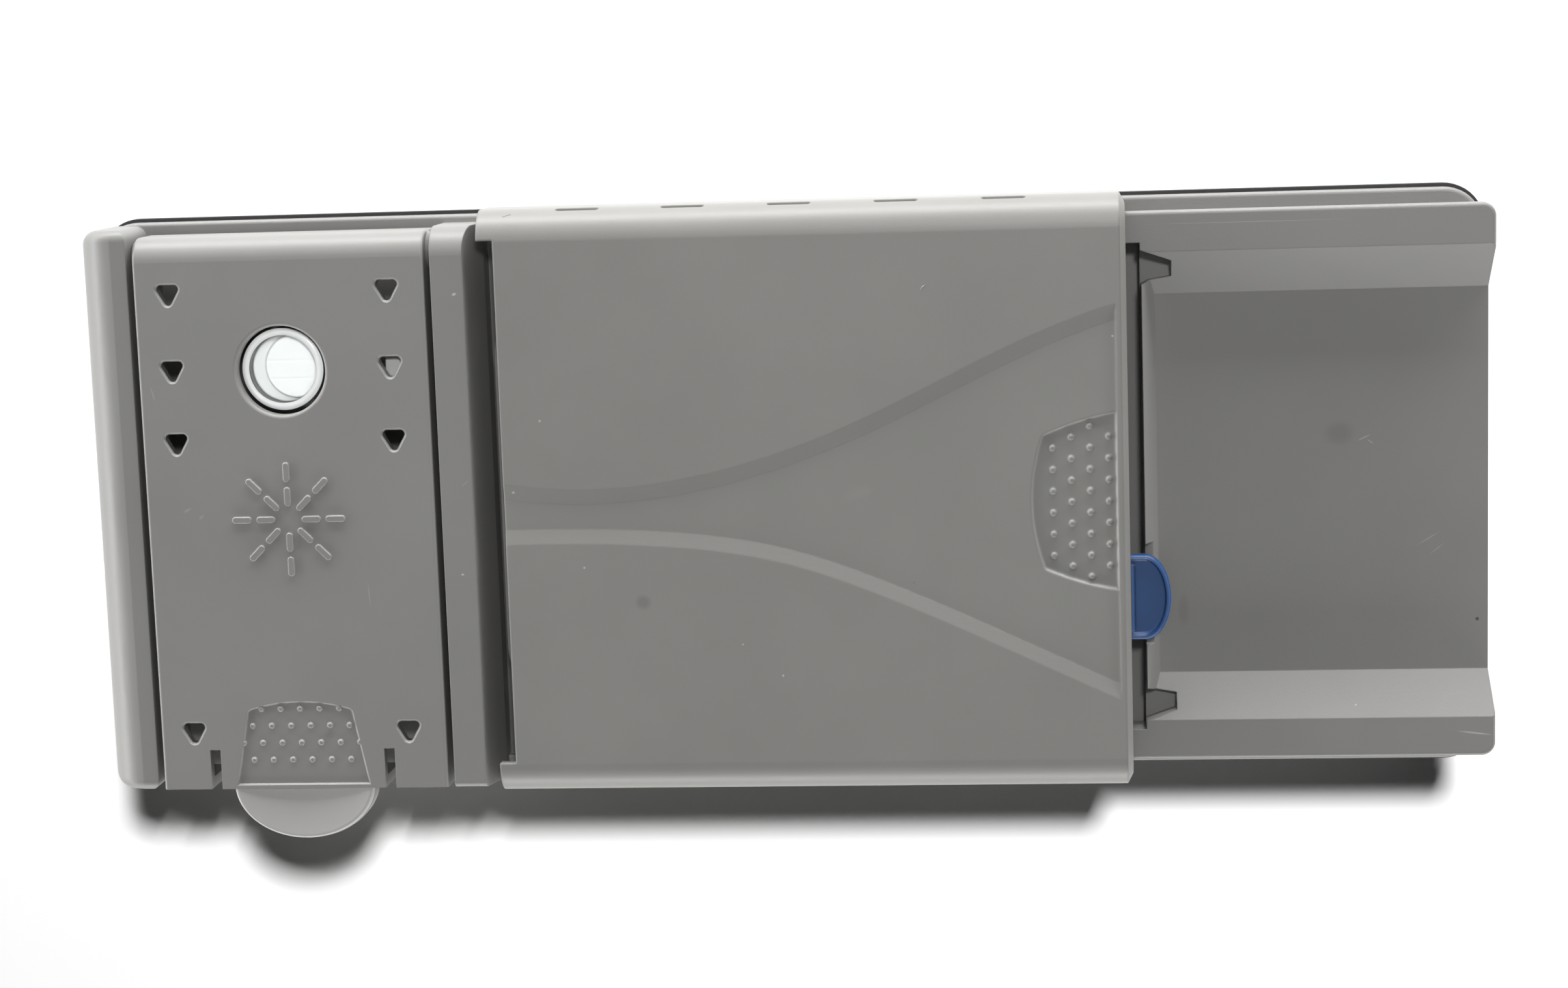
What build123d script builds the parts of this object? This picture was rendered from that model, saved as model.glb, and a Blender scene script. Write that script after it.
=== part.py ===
"""Dishwasher detergent dispenser with a sliding cup cover and a hinged rinse-aid flap.

X runs along the length towards the prewash tray, Y runs up the door and Z points
out of the door towards the user.  The origin is the middle of the plane in which
the gasket seats on the door.  All lengths are millimetres, all angles degrees.
"""
import os
from math import atan2, tan

from build123d import *

os.makedirs("parts", exist_ok=True)

# General fits
wall = 2.0                  # usual moulded wall
seat_gap = 0.3              # gap left where one piece rests near another
slide_gap = 0.3             # clearance each side of a sliding fit
pin_gap = 0.08              # radial clearance of a pin in its hole
joint_depth = 0.5           # how far features of one moulding run into each other
overrun = 1.0               # how far a cut runs past the face that it opens

# Rear skirt, which passes through the opening in the door
skirt_half_height = 41.0
skirt_bottom = -6.0
skirt_corner = 4.0

# Flange and gasket, which seat on the door round that opening
flange_half_length = 113.8
flange_margin_x = 5.3       # flange beyond the skirt at each end
flange_margin_y = 5.9       # flange beyond the skirt above and below
flange_half_height = skirt_half_height + flange_margin_y
flange_thickness = 2.5
flange_corner = 6.0
flange_edge_round = 0.6
gasket_thickness = 2.0
gasket_overhang = 0.6       # gasket edge beyond the flange edge
gasket_gap_x = 1.1          # gap between the skirt and the gasket at the ends
gasket_gap_y = 1.7          # and above and below
gasket_inner_corner = 1.8
gasket_chamfer = 0.3
flange_back = gasket_thickness
flange_front = flange_back + flange_thickness
skirt_right = flange_half_length - flange_margin_x

# Prewash tray and the rails beside it
end_overhang = 1.2          # rails and end cap beyond the flange
rail_inset = 2.1            # rail edge inside the flange edge
rail_right = flange_half_length + end_overhang
rail_half_height = flange_half_height - rail_inset
rail_top = 12.0             # height of the rail face
rail_face = 6.5             # width of the rail face
rail_overhang = 1.6         # rail lip beyond its web
rail_corner = 2.2
rail_edge_round = 0.6
tray_depth = 4.3
tray_slope_run = 7.1        # width of the slope from rail to floor
tray_ridge_x = 58.9         # thin ridge between latch pocket and tray
tray_ridge_width = 0.3
tray_ridge_run = 2.4        # ridge and slope down to the tray floor
tray_end_draft = 0.7        # the open end leans in by this much at the floor
tray_rib_height = 4.8
tray_rib_width = 1.4
tray_rib_places = (75.0, 90.0)
rail_fold = rail_half_height - rail_face
tray_half_height = rail_fold - tray_slope_run
tray_floor_x = tray_ridge_x + tray_ridge_run
tray_floor = rail_top - tray_depth
web_outer = rail_half_height - rail_overhang
web_inner = web_outer - wall

# Detergent cup
cup_left = -43.0
cup_right = 5.0
cup_half_height = 32.0
cup_depth = 40.0
cup_corner = 8.0
cup_floor_round = 4.0
cup_draft = 2.5             # degrees of taper in the cup walls
cup_rim_rise = 2.0          # rim above the rail face
cup_rim_width = 3.0
cup_rim = rail_top + cup_rim_rise
cup_floor = cup_rim - cup_depth
deck_left = cup_left - cup_rim_width
seal_width = 1.6
seal_rise = 1.2
seal_bed = 0.8              # depth of the groove that holds the cup seal
seal_fit = 0.05             # seal inside its groove, each side
seal_chamfer = 0.5

# Latch pocket with its two corner notches
pocket_left = cup_right + wall
pocket_half_height = web_inner - 1.4
notch_right = tray_ridge_x + 5.0
notch_outer = rail_fold - 1.5
notch_inner = rail_fold - 4.1
notch_neck = tray_ridge_x + 1.3
notch_floor_x = tray_ridge_x + 0.2
notch_skin = 1.2            # plastic left round a notch
notch_chamfer = 0.6

# End cap and divider, the raised walls beside the flap
cap_width = 9.1
cap_left = -rail_right
cap_right = cap_left + cap_width
cap_top = flange_half_height - 0.5
cap_bottom = -flange_half_height - 0.6
cap_height = 16.6
cap_round = 6.5
cap_corner = 3.6
cap_end_round = 1.8
cap_side_rise = cap_round + 1.5      # height of the curved side of the cap
cap_hollow_side = 4.0       # plastic left beside and above the hollow of the cap
cap_hollow_end = 5.0
divider_slope = 2.0         # lean of the divider's right side
divider_width = 5.3
divider_foot = deck_left - 2.1
divider_foot_z = 8.5
divider_right = divider_foot - divider_slope
divider_left = divider_right - divider_width
divider_top = flange_half_height - 1.3
divider_bottom = -flange_half_height - 0.4
divider_height = 17.0
divider_round = 4.6
divider_low_round = 1.0
divider_skin = 0.8

# Rinse-aid side: the tank ends where the skirt begins
skirt_left = divider_foot - 1.9
tank_gap = 1.0              # gap between skirt and tank
tank_left = -skirt_right
tank_right = skirt_left - tank_gap
tank_back = -34.0
tank_corner = 5.0
tank_edge_round = 3.0
tank_rib_y = 14.0
tank_rib_inset = 12.0
tank_rib_height = 10.0
tank_rib_width = 1.6

# Flap that closes the rinse-aid filler
flap_side_gap = 1.1
flap_left = cap_right + flap_side_gap
flap_right = divider_left - flap_side_gap
flap_top = flange_half_height - 1.9
flap_bottom = -flange_half_height - 0.3
flap_face = 17.0
flap_plate = 2.0
flap_wall = 1.8
flap_skirt_z = 6.5
flap_end_round = 4.0
flap_edge_round = 0.5
hinge_y = flap_top - 3.3
hinge_z = flap_face - 5.5
hinge_pin_radius = 1.5
hinge_pin_length = 3.0
hinge_pin_gap = 0.2
hinge_cheek_radius = 3.4
hinge_cheek_height = 0.8
pattern_x = (flap_left + flap_right) / 2 - 0.35     # middle of everything on the flap

# Filler neck, lens and dial below the flap
neck_y = -5.0
neck_radius = 14.0
neck_bore = 11.0
neck_ledge_bore = 9.8
neck_ledge = 6.0
neck_top = 12.5
lens_x = pattern_x - 0.3
lens_y = 22.9
lens_boss_radius = 9.2
lens_boss_top = 7.6
lens_stem_radius = 6.3
lens_stem_bottom = -8.0
lens_head_radius = 6.8
lens_top = 14.6
lens_flange_radius = 9.4
lens_flange_thickness = 1.5
lens_wall = 1.1
lens_window = 1.6
lens_edge_round = 0.5
lens_wing_reach = 20.8      # wing tip from the lens axis
lens_wing_width = 4.0
lens_seal_thickness = 1.2
dial_y = flap_bottom + 16.2
dial_radius = 7.5
dial_thickness = 2.5
dial_boss_radius = 5.0
dial_boss_top = 6.5
dial_spindle_radius = 2.0
dial_spindle_gap = 0.2
dial_spindle_end = 1.5      # spindle beyond the back of the flange
dial_chamfer = 0.5
dial_grip_width = 2.2
dial_grip_height = 2.0
dial_grip_inset = 1.5
strainer_depth = 12.0
strainer_wall = 1.2
strainer_slots = 8
strainer_slot_width = 2.4
strainer_mesh = 2.2         # square holes in the strainer's floor
strainer_mesh_pitch = 4.0
strainer_mesh_count = 3

# Holes and marks in the flap
drain_offset_x = 18.2
drain_rows = (flap_top - 9.7, lens_y - 0.15, flap_top - 34.3, flap_bottom + 9.2)
drain_width = 4.6
drain_height = 4.1
drain_corner = 0.7
drain_bevel = 0.35
sight_radius = 7.35
sight_round = 0.6
symbol_y = -1.7
symbol_rays = 8
dash_width = 1.1
dash_height = 0.35
dash_round = 0.15
dash_inner = (2.2, 5.4)
dash_outer = (6.2, 9.5)

# Grip and pull tab of the flap
grip_depth = 0.3
grip_top_y = flap_bottom + 14.9
grip_shoulder_y = grip_top_y - 1.4
grip_top_half = 8.9
grip_bottom_half = 11.4
grip_corner = 1.0
grip_dot_radius = 0.55
grip_dot_height = 0.3
grip_dot_pitch = 3.3
grip_row_y = grip_top_y - 1.3
grip_row_pitch = 2.9
grip_row_counts = (5, 6, 7, 6)
tab_root_y = flap_bottom + 0.6
tab_half_width = 12.1
tab_reach = 9.4
tab_thickness = 2.9
tab_rise = 0.7              # tab surface below the flap face
tab_edge_round = 1.0
tab_rim = 1.7               # rim left round the scoop
tab_scoop_depth = 1.0
tab_scoop_round = 0.9
tab_scoop_corner = 1.5
flex_slot_offset = 14.8     # slots beside the tab let its tongue flex
flex_slot_width = 1.8
flex_slot_top = flap_bottom + 6.7
flap_seal_inner = 9.8
flap_seal_outer = 13.2
seal_ring_height = 1.6
seal_ring_wall = 1.3
snap_half_width = 9.0
snap_rib_y = flap_bottom + 3.4
snap_rib_width = 1.5
snap_rib_top = 9.0
snap_lip = 0.8
snap_lip_height = 1.0

# Sliding cover over the detergent cup
cover_plate = 2.0
cover_face = cup_rim + seal_rise + seat_gap + cover_plate
cover_skirt_left = divider_foot + 0.5
cover_left = cover_skirt_left + 2.7
cover_right = tray_ridge_x - 2.3
cover_top = rail_half_height + 3.2
cover_bottom = -rail_half_height - 3.8
cover_wall = 2.0
cover_round = 5.2
cover_skirt_z = flange_front + 0.7
cover_lip_high = rail_top - wall - 0.4
cover_lip_thickness = 1.7
cover_lip_low = cover_lip_high - cover_lip_thickness
cover_lip_reach = web_outer + 0.4
cover_notch_depth = 5.0     # depth of the cut at the cover's left end
cover_bevel_width = 1.7
cover_bevel_depth = 0.9
vent_count = 5
vent_pitch = 17.2
vent_middle_x = 3.0
vent_length = 7.0
vent_height = 0.9
vent_z = cover_face - 3.6
relief_depth = 0.4
relief_run = 2.4            # width of the soft step at the edge of the relief
relief_ledge = 0.02         # upright part left at the foot of that step
relief_left = cover_left - 1.1
relief_right = cover_right - cover_bevel_width - 0.1
relief_upper = ((relief_left, 1.3), (-3.9, 4.0), (14.0, 10.4), (33.1, 19.5), (relief_right, 28.2))
relief_lower = ((relief_left, -4.2), (-17.1, -5.0), (0.8, -7.9), (19.7, -14.7), (38.5, -23.3),
                (relief_right, -31.0))
thumb_depth = 0.4
thumb_slope = 45            # degrees
thumb_corner = 1.2
thumb_top_y = 13.4
thumb_bottom_y = -15.75
thumb_reach = 13.95         # from the relief's end to the left side of the pad
thumb_corner_in = 12.0      # from the relief's end to the pad's left corners
thumb_corner_drop = 3.6     # and how far those lie below its right corners
thumb_bow = 0.45            # rise of the curved upper and lower sides
thumb_dot_radius = 0.6
thumb_dot_height = 0.35
thumb_dot_pitch = 3.5
thumb_column_pitch = 3.0
thumb_column_inset = 1.4    # last column from the relief's end
thumb_column_y = -1.15
thumb_column_counts = (6, 7, 8, 7)

# Track for the opening spring under the cover
track_left = 12.0
track_gap = 2.4
track_rib = 1.0
track_low_y = 14.0
track_high_y = 35.0
track_bottom = 12.8

# Blue latch that holds the cover shut
latch_y = -17.5
latch_side_gap = 1.4        # room in the ridge beside the pad
latch_cut_z = rail_top - 2.6
latch_half_width = 7.0
latch_nose_x = cover_right - 1.2
latch_nose_top = 14.4
latch_pivot_x = latch_nose_x - 11.4
latch_pivot_z = 7.9
latch_pin_radius = 1.25
pin_chamfer = 0.2
latch_hub_radius = 2.9
latch_arm_top = 12.6
latch_arm_thickness = 2.2
latch_pad_left = cover_right - 0.6
latch_pad_middle = tray_ridge_x - 0.1      # where the pad's curved end begins
latch_pad_reach = 4.3
latch_pad_top = 14.2
latch_pad_thickness = 1.9
latch_pad_rim = 0.75
latch_pad_recess = 0.6
latch_pad_round = 0.7
latch_tail_bottom = -7.0
latch_tail_thickness = 3.0
latch_tail_half_width = 2.5
latch_tail_gap = 1.2
latch_post_thickness = 1.5
latch_post_radius = 2.6
nose_rib_width = 1.6
nose_rib_x = latch_nose_x - nose_rib_width - 0.4
latch_spring_x = latch_pivot_x + 7.0
latch_spring_radius = 2.2
latch_spring_turns = 3

# Wire spring that opens the cover
wire_radius = 0.6
coil_x = latch_pivot_x - 3.0
coil_y = latch_y + latch_half_width + latch_post_thickness + 6.0
coil_mean = 3.6
coil_turns = 3
arm_foot_x = 14.0
arm_foot_y = -30.0
arm_tip_y = 24.0
arm_bend = 1.6

# Dosing pump in the side of the tank
pump_y = 3.7 - skirt_half_height
pump_z = -3.5
piston_radius = 2.0
pump_wall = 1.3
pump_length = 17.0
pump_port_radius = 0.8
piston_length = 9.0
piston_land = 1.5           # land in front of the groove for the seal
piston_groove = 1.4
piston_core = piston_radius - 0.7
piston_wire = 0.5
piston_spring_radius = 1.5
piston_spring_turns = 5

# Link bar from the trip lever to the dosing piston
link_travel = 2.1
link_half_width = 1.25
link_half_height = 2.5
link_end = 3.5              # bar beyond the lever's axis
link_slot_play = 1.2

# Actuator housing with coil and trip lever
housing_left = 9.0
housing_back = tank_back
housing_edge_round = 1.5
housing_rib_places = (6.0, 24.0)
housing_rib_width = 1.4
housing_rib_height = 2.0
lever_x = latch_pivot_x + 8.0
lever_z = -11.0
lever_pin_radius = 1.5
lever_hub_radius = 3.0
lever_drive_reach = 7.5
lever_arm_width = 3.0
lever_arm_thickness = 2.2
lever_finger_width = 2.4
lever_finger_high = -3.0
lever_finger_low = -11.0
lever_finger_half = 2.0
lever_finger_gap = 2.2      # finger behind the latch tail at rest
lever_link_pin = 1.2
lug_thickness = 2.6
lug_half_width = 3.6
lug_rise = 3.2
near_lug_y = -6.0
near_lug_thickness = 2.0
guide_thickness = 1.6       # guides beside the coil
guide_inset = 4.0
coil_z = -22.5
coil_left = lever_x + 14.0
coil_length = 32.0
coil_right = coil_left + coil_length
yoke_thickness = 1.5
yoke_half = 9.5
bobbin_bore = 4.6
bobbin_tube = 0.9
bobbin_flange = 1.2
bobbin_flange_radius = 7.6
winding_radius = 7.3
armature_radius = 4.2
armature_left = lever_x + 2.0
armature_length = 32.0
armature_stroke = 3.0
armature_neck = 1.8
armature_head = 3.2
armature_head_thickness = 1.6
armature_groove = 4.0
core_gap = 1.0              # air left between armature and core at full stroke
core_chamfer = 0.6
armature_collar = 1.2
armature_collar_radius = 6.2
armature_spring_radius = 5.1
armature_spring_turns = 4
fork_tine = 2.2
fork_tine_width = 1.6
fork_tip_radius = 1.5
fork_gap = 0.4
blade_width = 6.3
blade_thickness = 0.8
blade_reach = 8.0
blade_spacing = 9.0
blade_chamfer = 1.0
blade_window_half = 11.0
blade_window_rise = 4.5

# Screws and clips
screw_radius = 1.4
screw_head_radius = 3.2
screw_head_height = 2.2
screw_slot_half = 2.2
screw_slot_width = 1.0
screw_slot_depth = 1.1
screw_column_radius = 4.4
screw_boss_radius = 3.8
screw_seat_z = -14.0
screw_tip_z = -1.0
screw_inset = 5.5           # screws from the outer faces of the housing
screw_y = skirt_half_height - screw_inset
screw_places = (
    (housing_left + screw_inset, screw_y),
    (skirt_right - screw_inset, screw_y),
    (skirt_right - screw_inset, -screw_y),
)
clip_places = ((-20.0, 1), (75.0, 1), (-20.0, -1), (75.0, -1))
clip_width = 9.0
clip_sheet = 0.6
clip_top = -0.6
clip_barb_z = -1.4
clip_barb = 1.5             # barb beyond the skirt, within the door opening's edge


def block(x_min, x_max, y_min, y_max, z_min, z_max, mode=Mode.ADD):
    """Add or cut a block, given by its limits, in the part in progress."""
    with Locations(((x_min + x_max) / 2, (y_min + y_max) / 2, z_min)):
        Box(x_max - x_min, y_max - y_min, z_max - z_min,
            align=(Align.CENTER, Align.CENTER, Align.MIN), mode=mode)


def upright(x, y, z_min, z_max, radius, mode=Mode.ADD):
    """Add or cut an upright cylinder in the part in progress."""
    with Locations((x, y, z_min)):
        Cylinder(radius, z_max - z_min, align=(Align.CENTER, Align.CENTER, Align.MIN), mode=mode)


def panel(x_min, x_max, y_min, y_max, radius=0.0, mode=Mode.ADD):
    """Draw a rectangle, given by its limits, in the sketch in progress."""
    with Locations(((x_min + x_max) / 2, (y_min + y_max) / 2)):
        if radius > 0:
            RectangleRounded(x_max - x_min, y_max - y_min, radius, mode=mode)
        else:
            Rectangle(x_max - x_min, y_max - y_min, mode=mode)


def along_x(x, y, z):
    """Plane whose normal is +X, with its own X along +Y, at a point."""
    return Plane(origin=(x, y, z), x_dir=(0, 1, 0), z_dir=(1, 0, 0))


def along_y(x, y, z):
    """Plane whose normal is -Y, with its own X along +X and its own Y along +Z."""
    return Plane(origin=(x, y, z), x_dir=(1, 0, 0), z_dir=(0, -1, 0))


def spandrel(x, y, inward_x, inward_y, radius):
    """Draw what a rounded corner leaves of a square one, from the corner point inwards."""
    with Locations((x + inward_x * radius / 2, y + inward_y * radius / 2)):
        Rectangle(radius, radius)
    with Locations((x + inward_x * radius, y + inward_y * radius)):
        Circle(radius, mode=Mode.SUBTRACT)


def seal_ring(fit):
    """Draw the ring of the cup seal, smaller than its groove by a fit on each side."""
    outer = (cup_rim_width + seal_width) / 2 - fit
    inner = (cup_rim_width - seal_width) / 2 + fit
    RectangleRounded(cup_length + 2 * outer, 2 * (cup_half_height + outer), cup_corner + outer)
    RectangleRounded(cup_length + 2 * inner, 2 * (cup_half_height + inner), cup_corner + inner,
                     mode=Mode.SUBTRACT)


def coil_spring(place, radius, wire, length, turns):
    """Compression spring of round wire, standing along the normal of a plane."""
    with BuildPart() as spring:
        with BuildLine() as path:
            Helix(pitch=(length - wire) / turns, height=length - wire, radius=radius, center=(0, 0, wire / 2))
        with BuildSketch(Plane(origin=path.line @ 0, z_dir=path.line % 0)):
            RegularPolygon(wire / 2, 6)
        sweep(path=path.line, is_frenet=True)
    return spring.part.moved(place.location)


# Rounded end cap, which is moulded with the base frame
with BuildPart() as end_cap:
    with BuildSketch(along_y(0, cap_top, 0)):
        with BuildLine():
            Line((cap_left, flange_back), (cap_left, cap_height - cap_side_rise))
            Spline((cap_left, cap_height - cap_side_rise), (cap_left + 2.0, cap_height - 2.4),
                   (cap_left + cap_round, cap_height), tangents=((0, 1), (1, 0.1)))
            Polyline((cap_left + cap_round, cap_height), (cap_right, cap_height),
                     (cap_right, flange_back), (cap_left, flange_back))
        make_face()
    extrude(amount=cap_top - cap_bottom)
    with BuildSketch(Plane.XY.offset(flange_back)):
        spandrel(cap_left, cap_top, 1, -1, cap_corner)
        spandrel(cap_left, cap_bottom, 1, 1, cap_corner)
    extrude(amount=cap_height, mode=Mode.SUBTRACT)
    cap_rim = end_cap.faces().filter_by(
        lambda face: face.center().Z > flange_front and face.center().X < cap_right - joint_depth
        and (face.center().Y > cap_top - cap_corner or face.center().Y < cap_bottom + cap_corner))
    cap_end_edges = cap_rim.edges().filter_by(
        lambda edge: edge.center().Z > cap_height - cap_side_rise and edge.geom_type != GeomType.CIRCLE)
    fillet(cap_end_edges, cap_end_round)
    block(cap_left - overrun, -flange_half_length, cap_bottom - overrun, cap_top + overrun,
          flange_back - overrun, flange_front, mode=Mode.SUBTRACT)

# Base frame: flange, end cap, divider, rails, tray, cup and rear skirt in one moulding
tray_slope_shift = wall * tan(atan2(tray_depth, tray_slope_run) / 2)
cup_mid = (cup_left + cup_right) / 2
cup_length = cup_right - cup_left
pocket_edge = (
    (pocket_left, pocket_half_height),
    (cover_right - overrun, pocket_half_height),
    (notch_right, notch_outer),
    (notch_right, notch_inner),
    (notch_neck, notch_inner - notch_chamfer),
    (notch_floor_x, notch_inner - 2 * notch_chamfer),
)

with BuildPart() as base_frame:
    with BuildSketch(Plane.XY.offset(flange_back)):
        RectangleRounded(2 * flange_half_length, 2 * flange_half_height, flange_corner)
    extrude(amount=flange_thickness)
    fillet(base_frame.edges().group_by(Axis.Z)[-1], flange_edge_round)

    # Tray shell: floor, slopes and overhanging rails as one bent section
    with BuildSketch(along_x(tray_ridge_x, 0, 0)):
        with BuildLine():
            Polyline((0, tray_floor), (tray_half_height, tray_floor), (rail_fold, rail_top),
                     (rail_half_height, rail_top), (rail_half_height, rail_top - wall),
                     (web_outer, rail_top - wall), (web_outer, flange_back),
                     (web_inner, flange_back), (web_inner, rail_top - wall),
                     (rail_fold + tray_slope_shift, rail_top - wall),
                     (tray_half_height + tray_slope_shift, tray_floor - wall),
                     (0, tray_floor - wall), close=True)
        make_face()
        mirror(about=Plane.YZ)
    extrude(amount=rail_right - tray_ridge_x)
    with BuildSketch(Plane.XY.offset(flange_back)):
        for side in (-1, 1):
            spandrel(rail_right, side * rail_half_height, -1, -side, rail_corner)
    extrude(amount=rail_top, mode=Mode.SUBTRACT)
    block(flange_half_length, rail_right + overrun, -rail_half_height - overrun, rail_half_height + overrun,
          flange_back - overrun, flange_front, mode=Mode.SUBTRACT)
    with BuildSketch(along_y(0, 0, 0)):
        with BuildLine():
            Polyline((rail_right - tray_end_draft, tray_floor - wall - overrun),
                     (rail_right + overrun, tray_floor - wall - overrun), (rail_right + overrun, rail_top),
                     (rail_right, rail_top), (rail_right - tray_end_draft, tray_floor), close=True)
        make_face()
    extrude(amount=rail_fold, both=True, mode=Mode.SUBTRACT)

    # Sloping wall between the latch pocket and the tray
    with BuildSketch(along_y(0, 0, 0)):
        with BuildLine():
            Polyline((tray_ridge_x, flange_back), (tray_ridge_x, rail_top),
                     (tray_ridge_x + tray_ridge_width, rail_top), (tray_floor_x, tray_floor),
                     (tray_floor_x, flange_back), close=True)
        make_face()
    extrude(amount=rail_fold + joint_depth, both=True)

    # Deck and webs that carry the rails past the pocket and the cup
    block(deck_left, tray_ridge_x, -rail_half_height, rail_half_height, rail_top - wall, rail_top)
    for side in (-1, 1):
        low, high = sorted((side * web_inner, side * web_outer))
        block(deck_left, tray_ridge_x, low, high, flange_back, rail_top)
    block(deck_left, deck_left + wall, -web_outer, web_outer, flange_back, rail_top)

    rail_edges = base_frame.edges().filter_by(
        lambda edge: abs(edge.center().Z - rail_top) < 0.01
        and (abs(edge.center().Y) > web_outer or edge.center().X > rail_right - rail_corner))
    fillet(rail_edges, rail_edge_round)

    # Ground under the corner notches, flush with slope and rail, then the pocket itself
    with BuildSketch(along_x(nose_rib_x, 0, 0)):
        with BuildLine():
            Polyline((tray_half_height, tray_floor), (rail_fold, rail_top), (web_outer, rail_top),
                     (web_outer, tray_floor - wall), (tray_half_height, tray_floor - wall), close=True)
        make_face()
        mirror(about=Plane.YZ)
    extrude(amount=notch_right + notch_skin - nose_rib_x)
    with BuildSketch(Plane.XY.offset(tray_floor)):
        for side in (-1, 1):
            with BuildLine():
                Polyline(*[(x, side * y) for x, y in pocket_edge],
                         (notch_floor_x, 0), (pocket_left, 0), close=True)
            make_face()
    extrude(amount=rail_top - tray_floor + overrun, mode=Mode.SUBTRACT)
    block(pocket_left, tray_ridge_x, -pocket_half_height, pocket_half_height,
          flange_front, rail_top, mode=Mode.SUBTRACT)
    block(tray_ridge_x - overrun, tray_floor_x + joint_depth, latch_y - latch_half_width - latch_side_gap,
          latch_y + latch_half_width + latch_side_gap, latch_cut_z, rail_top + overrun, mode=Mode.SUBTRACT)

    # Openings through the flange plate behind the tray and round the cup
    with BuildSketch(Plane.XY.offset(flange_back - overrun)):
        panel(tray_floor_x + wall, skirt_right - wall, -web_inner + wall, web_inner - wall, wall)
        panel(deck_left + wall, cup_right, -web_inner + wall, web_inner - wall, wall)
    extrude(amount=flange_thickness + overrun, mode=Mode.SUBTRACT)

    # Tapered detergent cup with its raised rim and the groove for its seal
    with BuildSketch(Plane.XY.offset(cup_rim)):
        with Locations((cup_mid, 0)):
            RectangleRounded(cup_length + 2 * wall, 2 * (cup_half_height + wall), cup_corner + wall)
    extrude(amount=-cup_depth - wall, taper=cup_draft)
    with BuildSketch(Plane.XY.offset(rail_top - wall)):
        with Locations((cup_mid, 0)):
            RectangleRounded(cup_length + 2 * cup_rim_width, 2 * (cup_half_height + cup_rim_width),
                             cup_corner + cup_rim_width)
    extrude(amount=cup_rim_rise + wall)
    with BuildSketch(Plane.XY.offset(cup_rim)):
        with Locations((cup_mid, 0)):
            RectangleRounded(cup_length, 2 * cup_half_height, cup_corner)
    extrude(amount=-cup_depth, taper=cup_draft, mode=Mode.SUBTRACT)
    cup_floor_edges = base_frame.edges().filter_by(
        lambda edge: abs(edge.center().Z - cup_floor) < 0.01 and abs(edge.center().X - cup_mid) < cup_length)
    fillet(cup_floor_edges, cup_floor_round)
    with BuildSketch(Plane.XY.offset(cup_rim)):
        with Locations((cup_mid, 0)):
            seal_ring(0.0)
    extrude(amount=-seal_bed, mode=Mode.SUBTRACT)

    # Rounded end cap, hollow from behind
    add(end_cap.part)
    block(cap_left + cap_hollow_side, cap_right - wall, cap_bottom + cap_hollow_end, cap_top - cap_hollow_end,
          flange_back - overrun, cap_height - cap_hollow_side, mode=Mode.SUBTRACT)

    # Divider with its sloping right side, hollow from behind
    with BuildSketch(along_y(0, divider_top, 0)):
        with BuildLine():
            Polyline((divider_left, flange_back), (divider_left, divider_height),
                     (divider_right, divider_height), (divider_foot, divider_foot_z),
                     (divider_foot, flange_back), close=True)
        make_face()
    extrude(amount=divider_top - divider_bottom)
    divider_end = base_frame.edges().filter_by(
        lambda edge: divider_left < edge.center().X < divider_foot
        and abs(edge.center().Z - divider_height) < 0.01 and abs(edge.center().Y - divider_top) < 0.01)
    fillet(divider_end, divider_round)
    divider_base = base_frame.edges().filter_by(
        lambda edge: divider_left < edge.center().X < divider_foot
        and abs(edge.center().Z - divider_height) < 0.01 and abs(edge.center().Y - divider_bottom) < 0.01)
    fillet(divider_base, divider_low_round)
    block(divider_left + wall, divider_right - divider_skin, divider_bottom + divider_round,
          divider_top - divider_round - divider_skin, flange_back - overrun, divider_height - wall,
          mode=Mode.SUBTRACT)

    # Filler neck, lens boss and dial boss
    upright(pattern_x, neck_y, flange_front - joint_depth, neck_top, neck_radius)
    upright(pattern_x, neck_y, neck_ledge, neck_top + overrun, neck_bore, mode=Mode.SUBTRACT)
    upright(pattern_x, neck_y, flange_back - overrun, neck_ledge + overrun, neck_ledge_bore,
            mode=Mode.SUBTRACT)
    upright(lens_x, lens_y, flange_front - joint_depth, lens_boss_top, lens_boss_radius)
    upright(lens_x, lens_y, flange_back - overrun, lens_boss_top + overrun, lens_stem_radius + slide_gap,
            mode=Mode.SUBTRACT)
    upright(pattern_x, dial_y, flange_front - joint_depth, dial_boss_top, dial_boss_radius)
    upright(pattern_x, dial_y, flange_back - overrun, dial_boss_top + overrun,
            dial_spindle_radius + dial_spindle_gap, mode=Mode.SUBTRACT)

    # Sockets for the flap pivots and the rib that the flap snaps on
    with Locations(Plane(origin=(cap_right - hinge_pin_length, hinge_y, hinge_z), z_dir=(1, 0, 0))):
        Cylinder(hinge_pin_radius + hinge_pin_gap, hinge_pin_length + overrun,
                 align=(Align.CENTER, Align.CENTER, Align.MIN), mode=Mode.SUBTRACT)
    with Locations(Plane(origin=(divider_left - overrun, hinge_y, hinge_z), z_dir=(1, 0, 0))):
        Cylinder(hinge_pin_radius + hinge_pin_gap, hinge_pin_length + overrun,
                 align=(Align.CENTER, Align.CENTER, Align.MIN), mode=Mode.SUBTRACT)
    block(pattern_x - snap_half_width, pattern_x + snap_half_width, snap_rib_y, snap_rib_y + snap_rib_width,
          flange_front - joint_depth, snap_rib_top)
    block(pattern_x - snap_half_width, pattern_x + snap_half_width, snap_rib_y - snap_lip,
          snap_rib_y + snap_rib_width, snap_rib_top - snap_lip_height, snap_rib_top)

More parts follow.
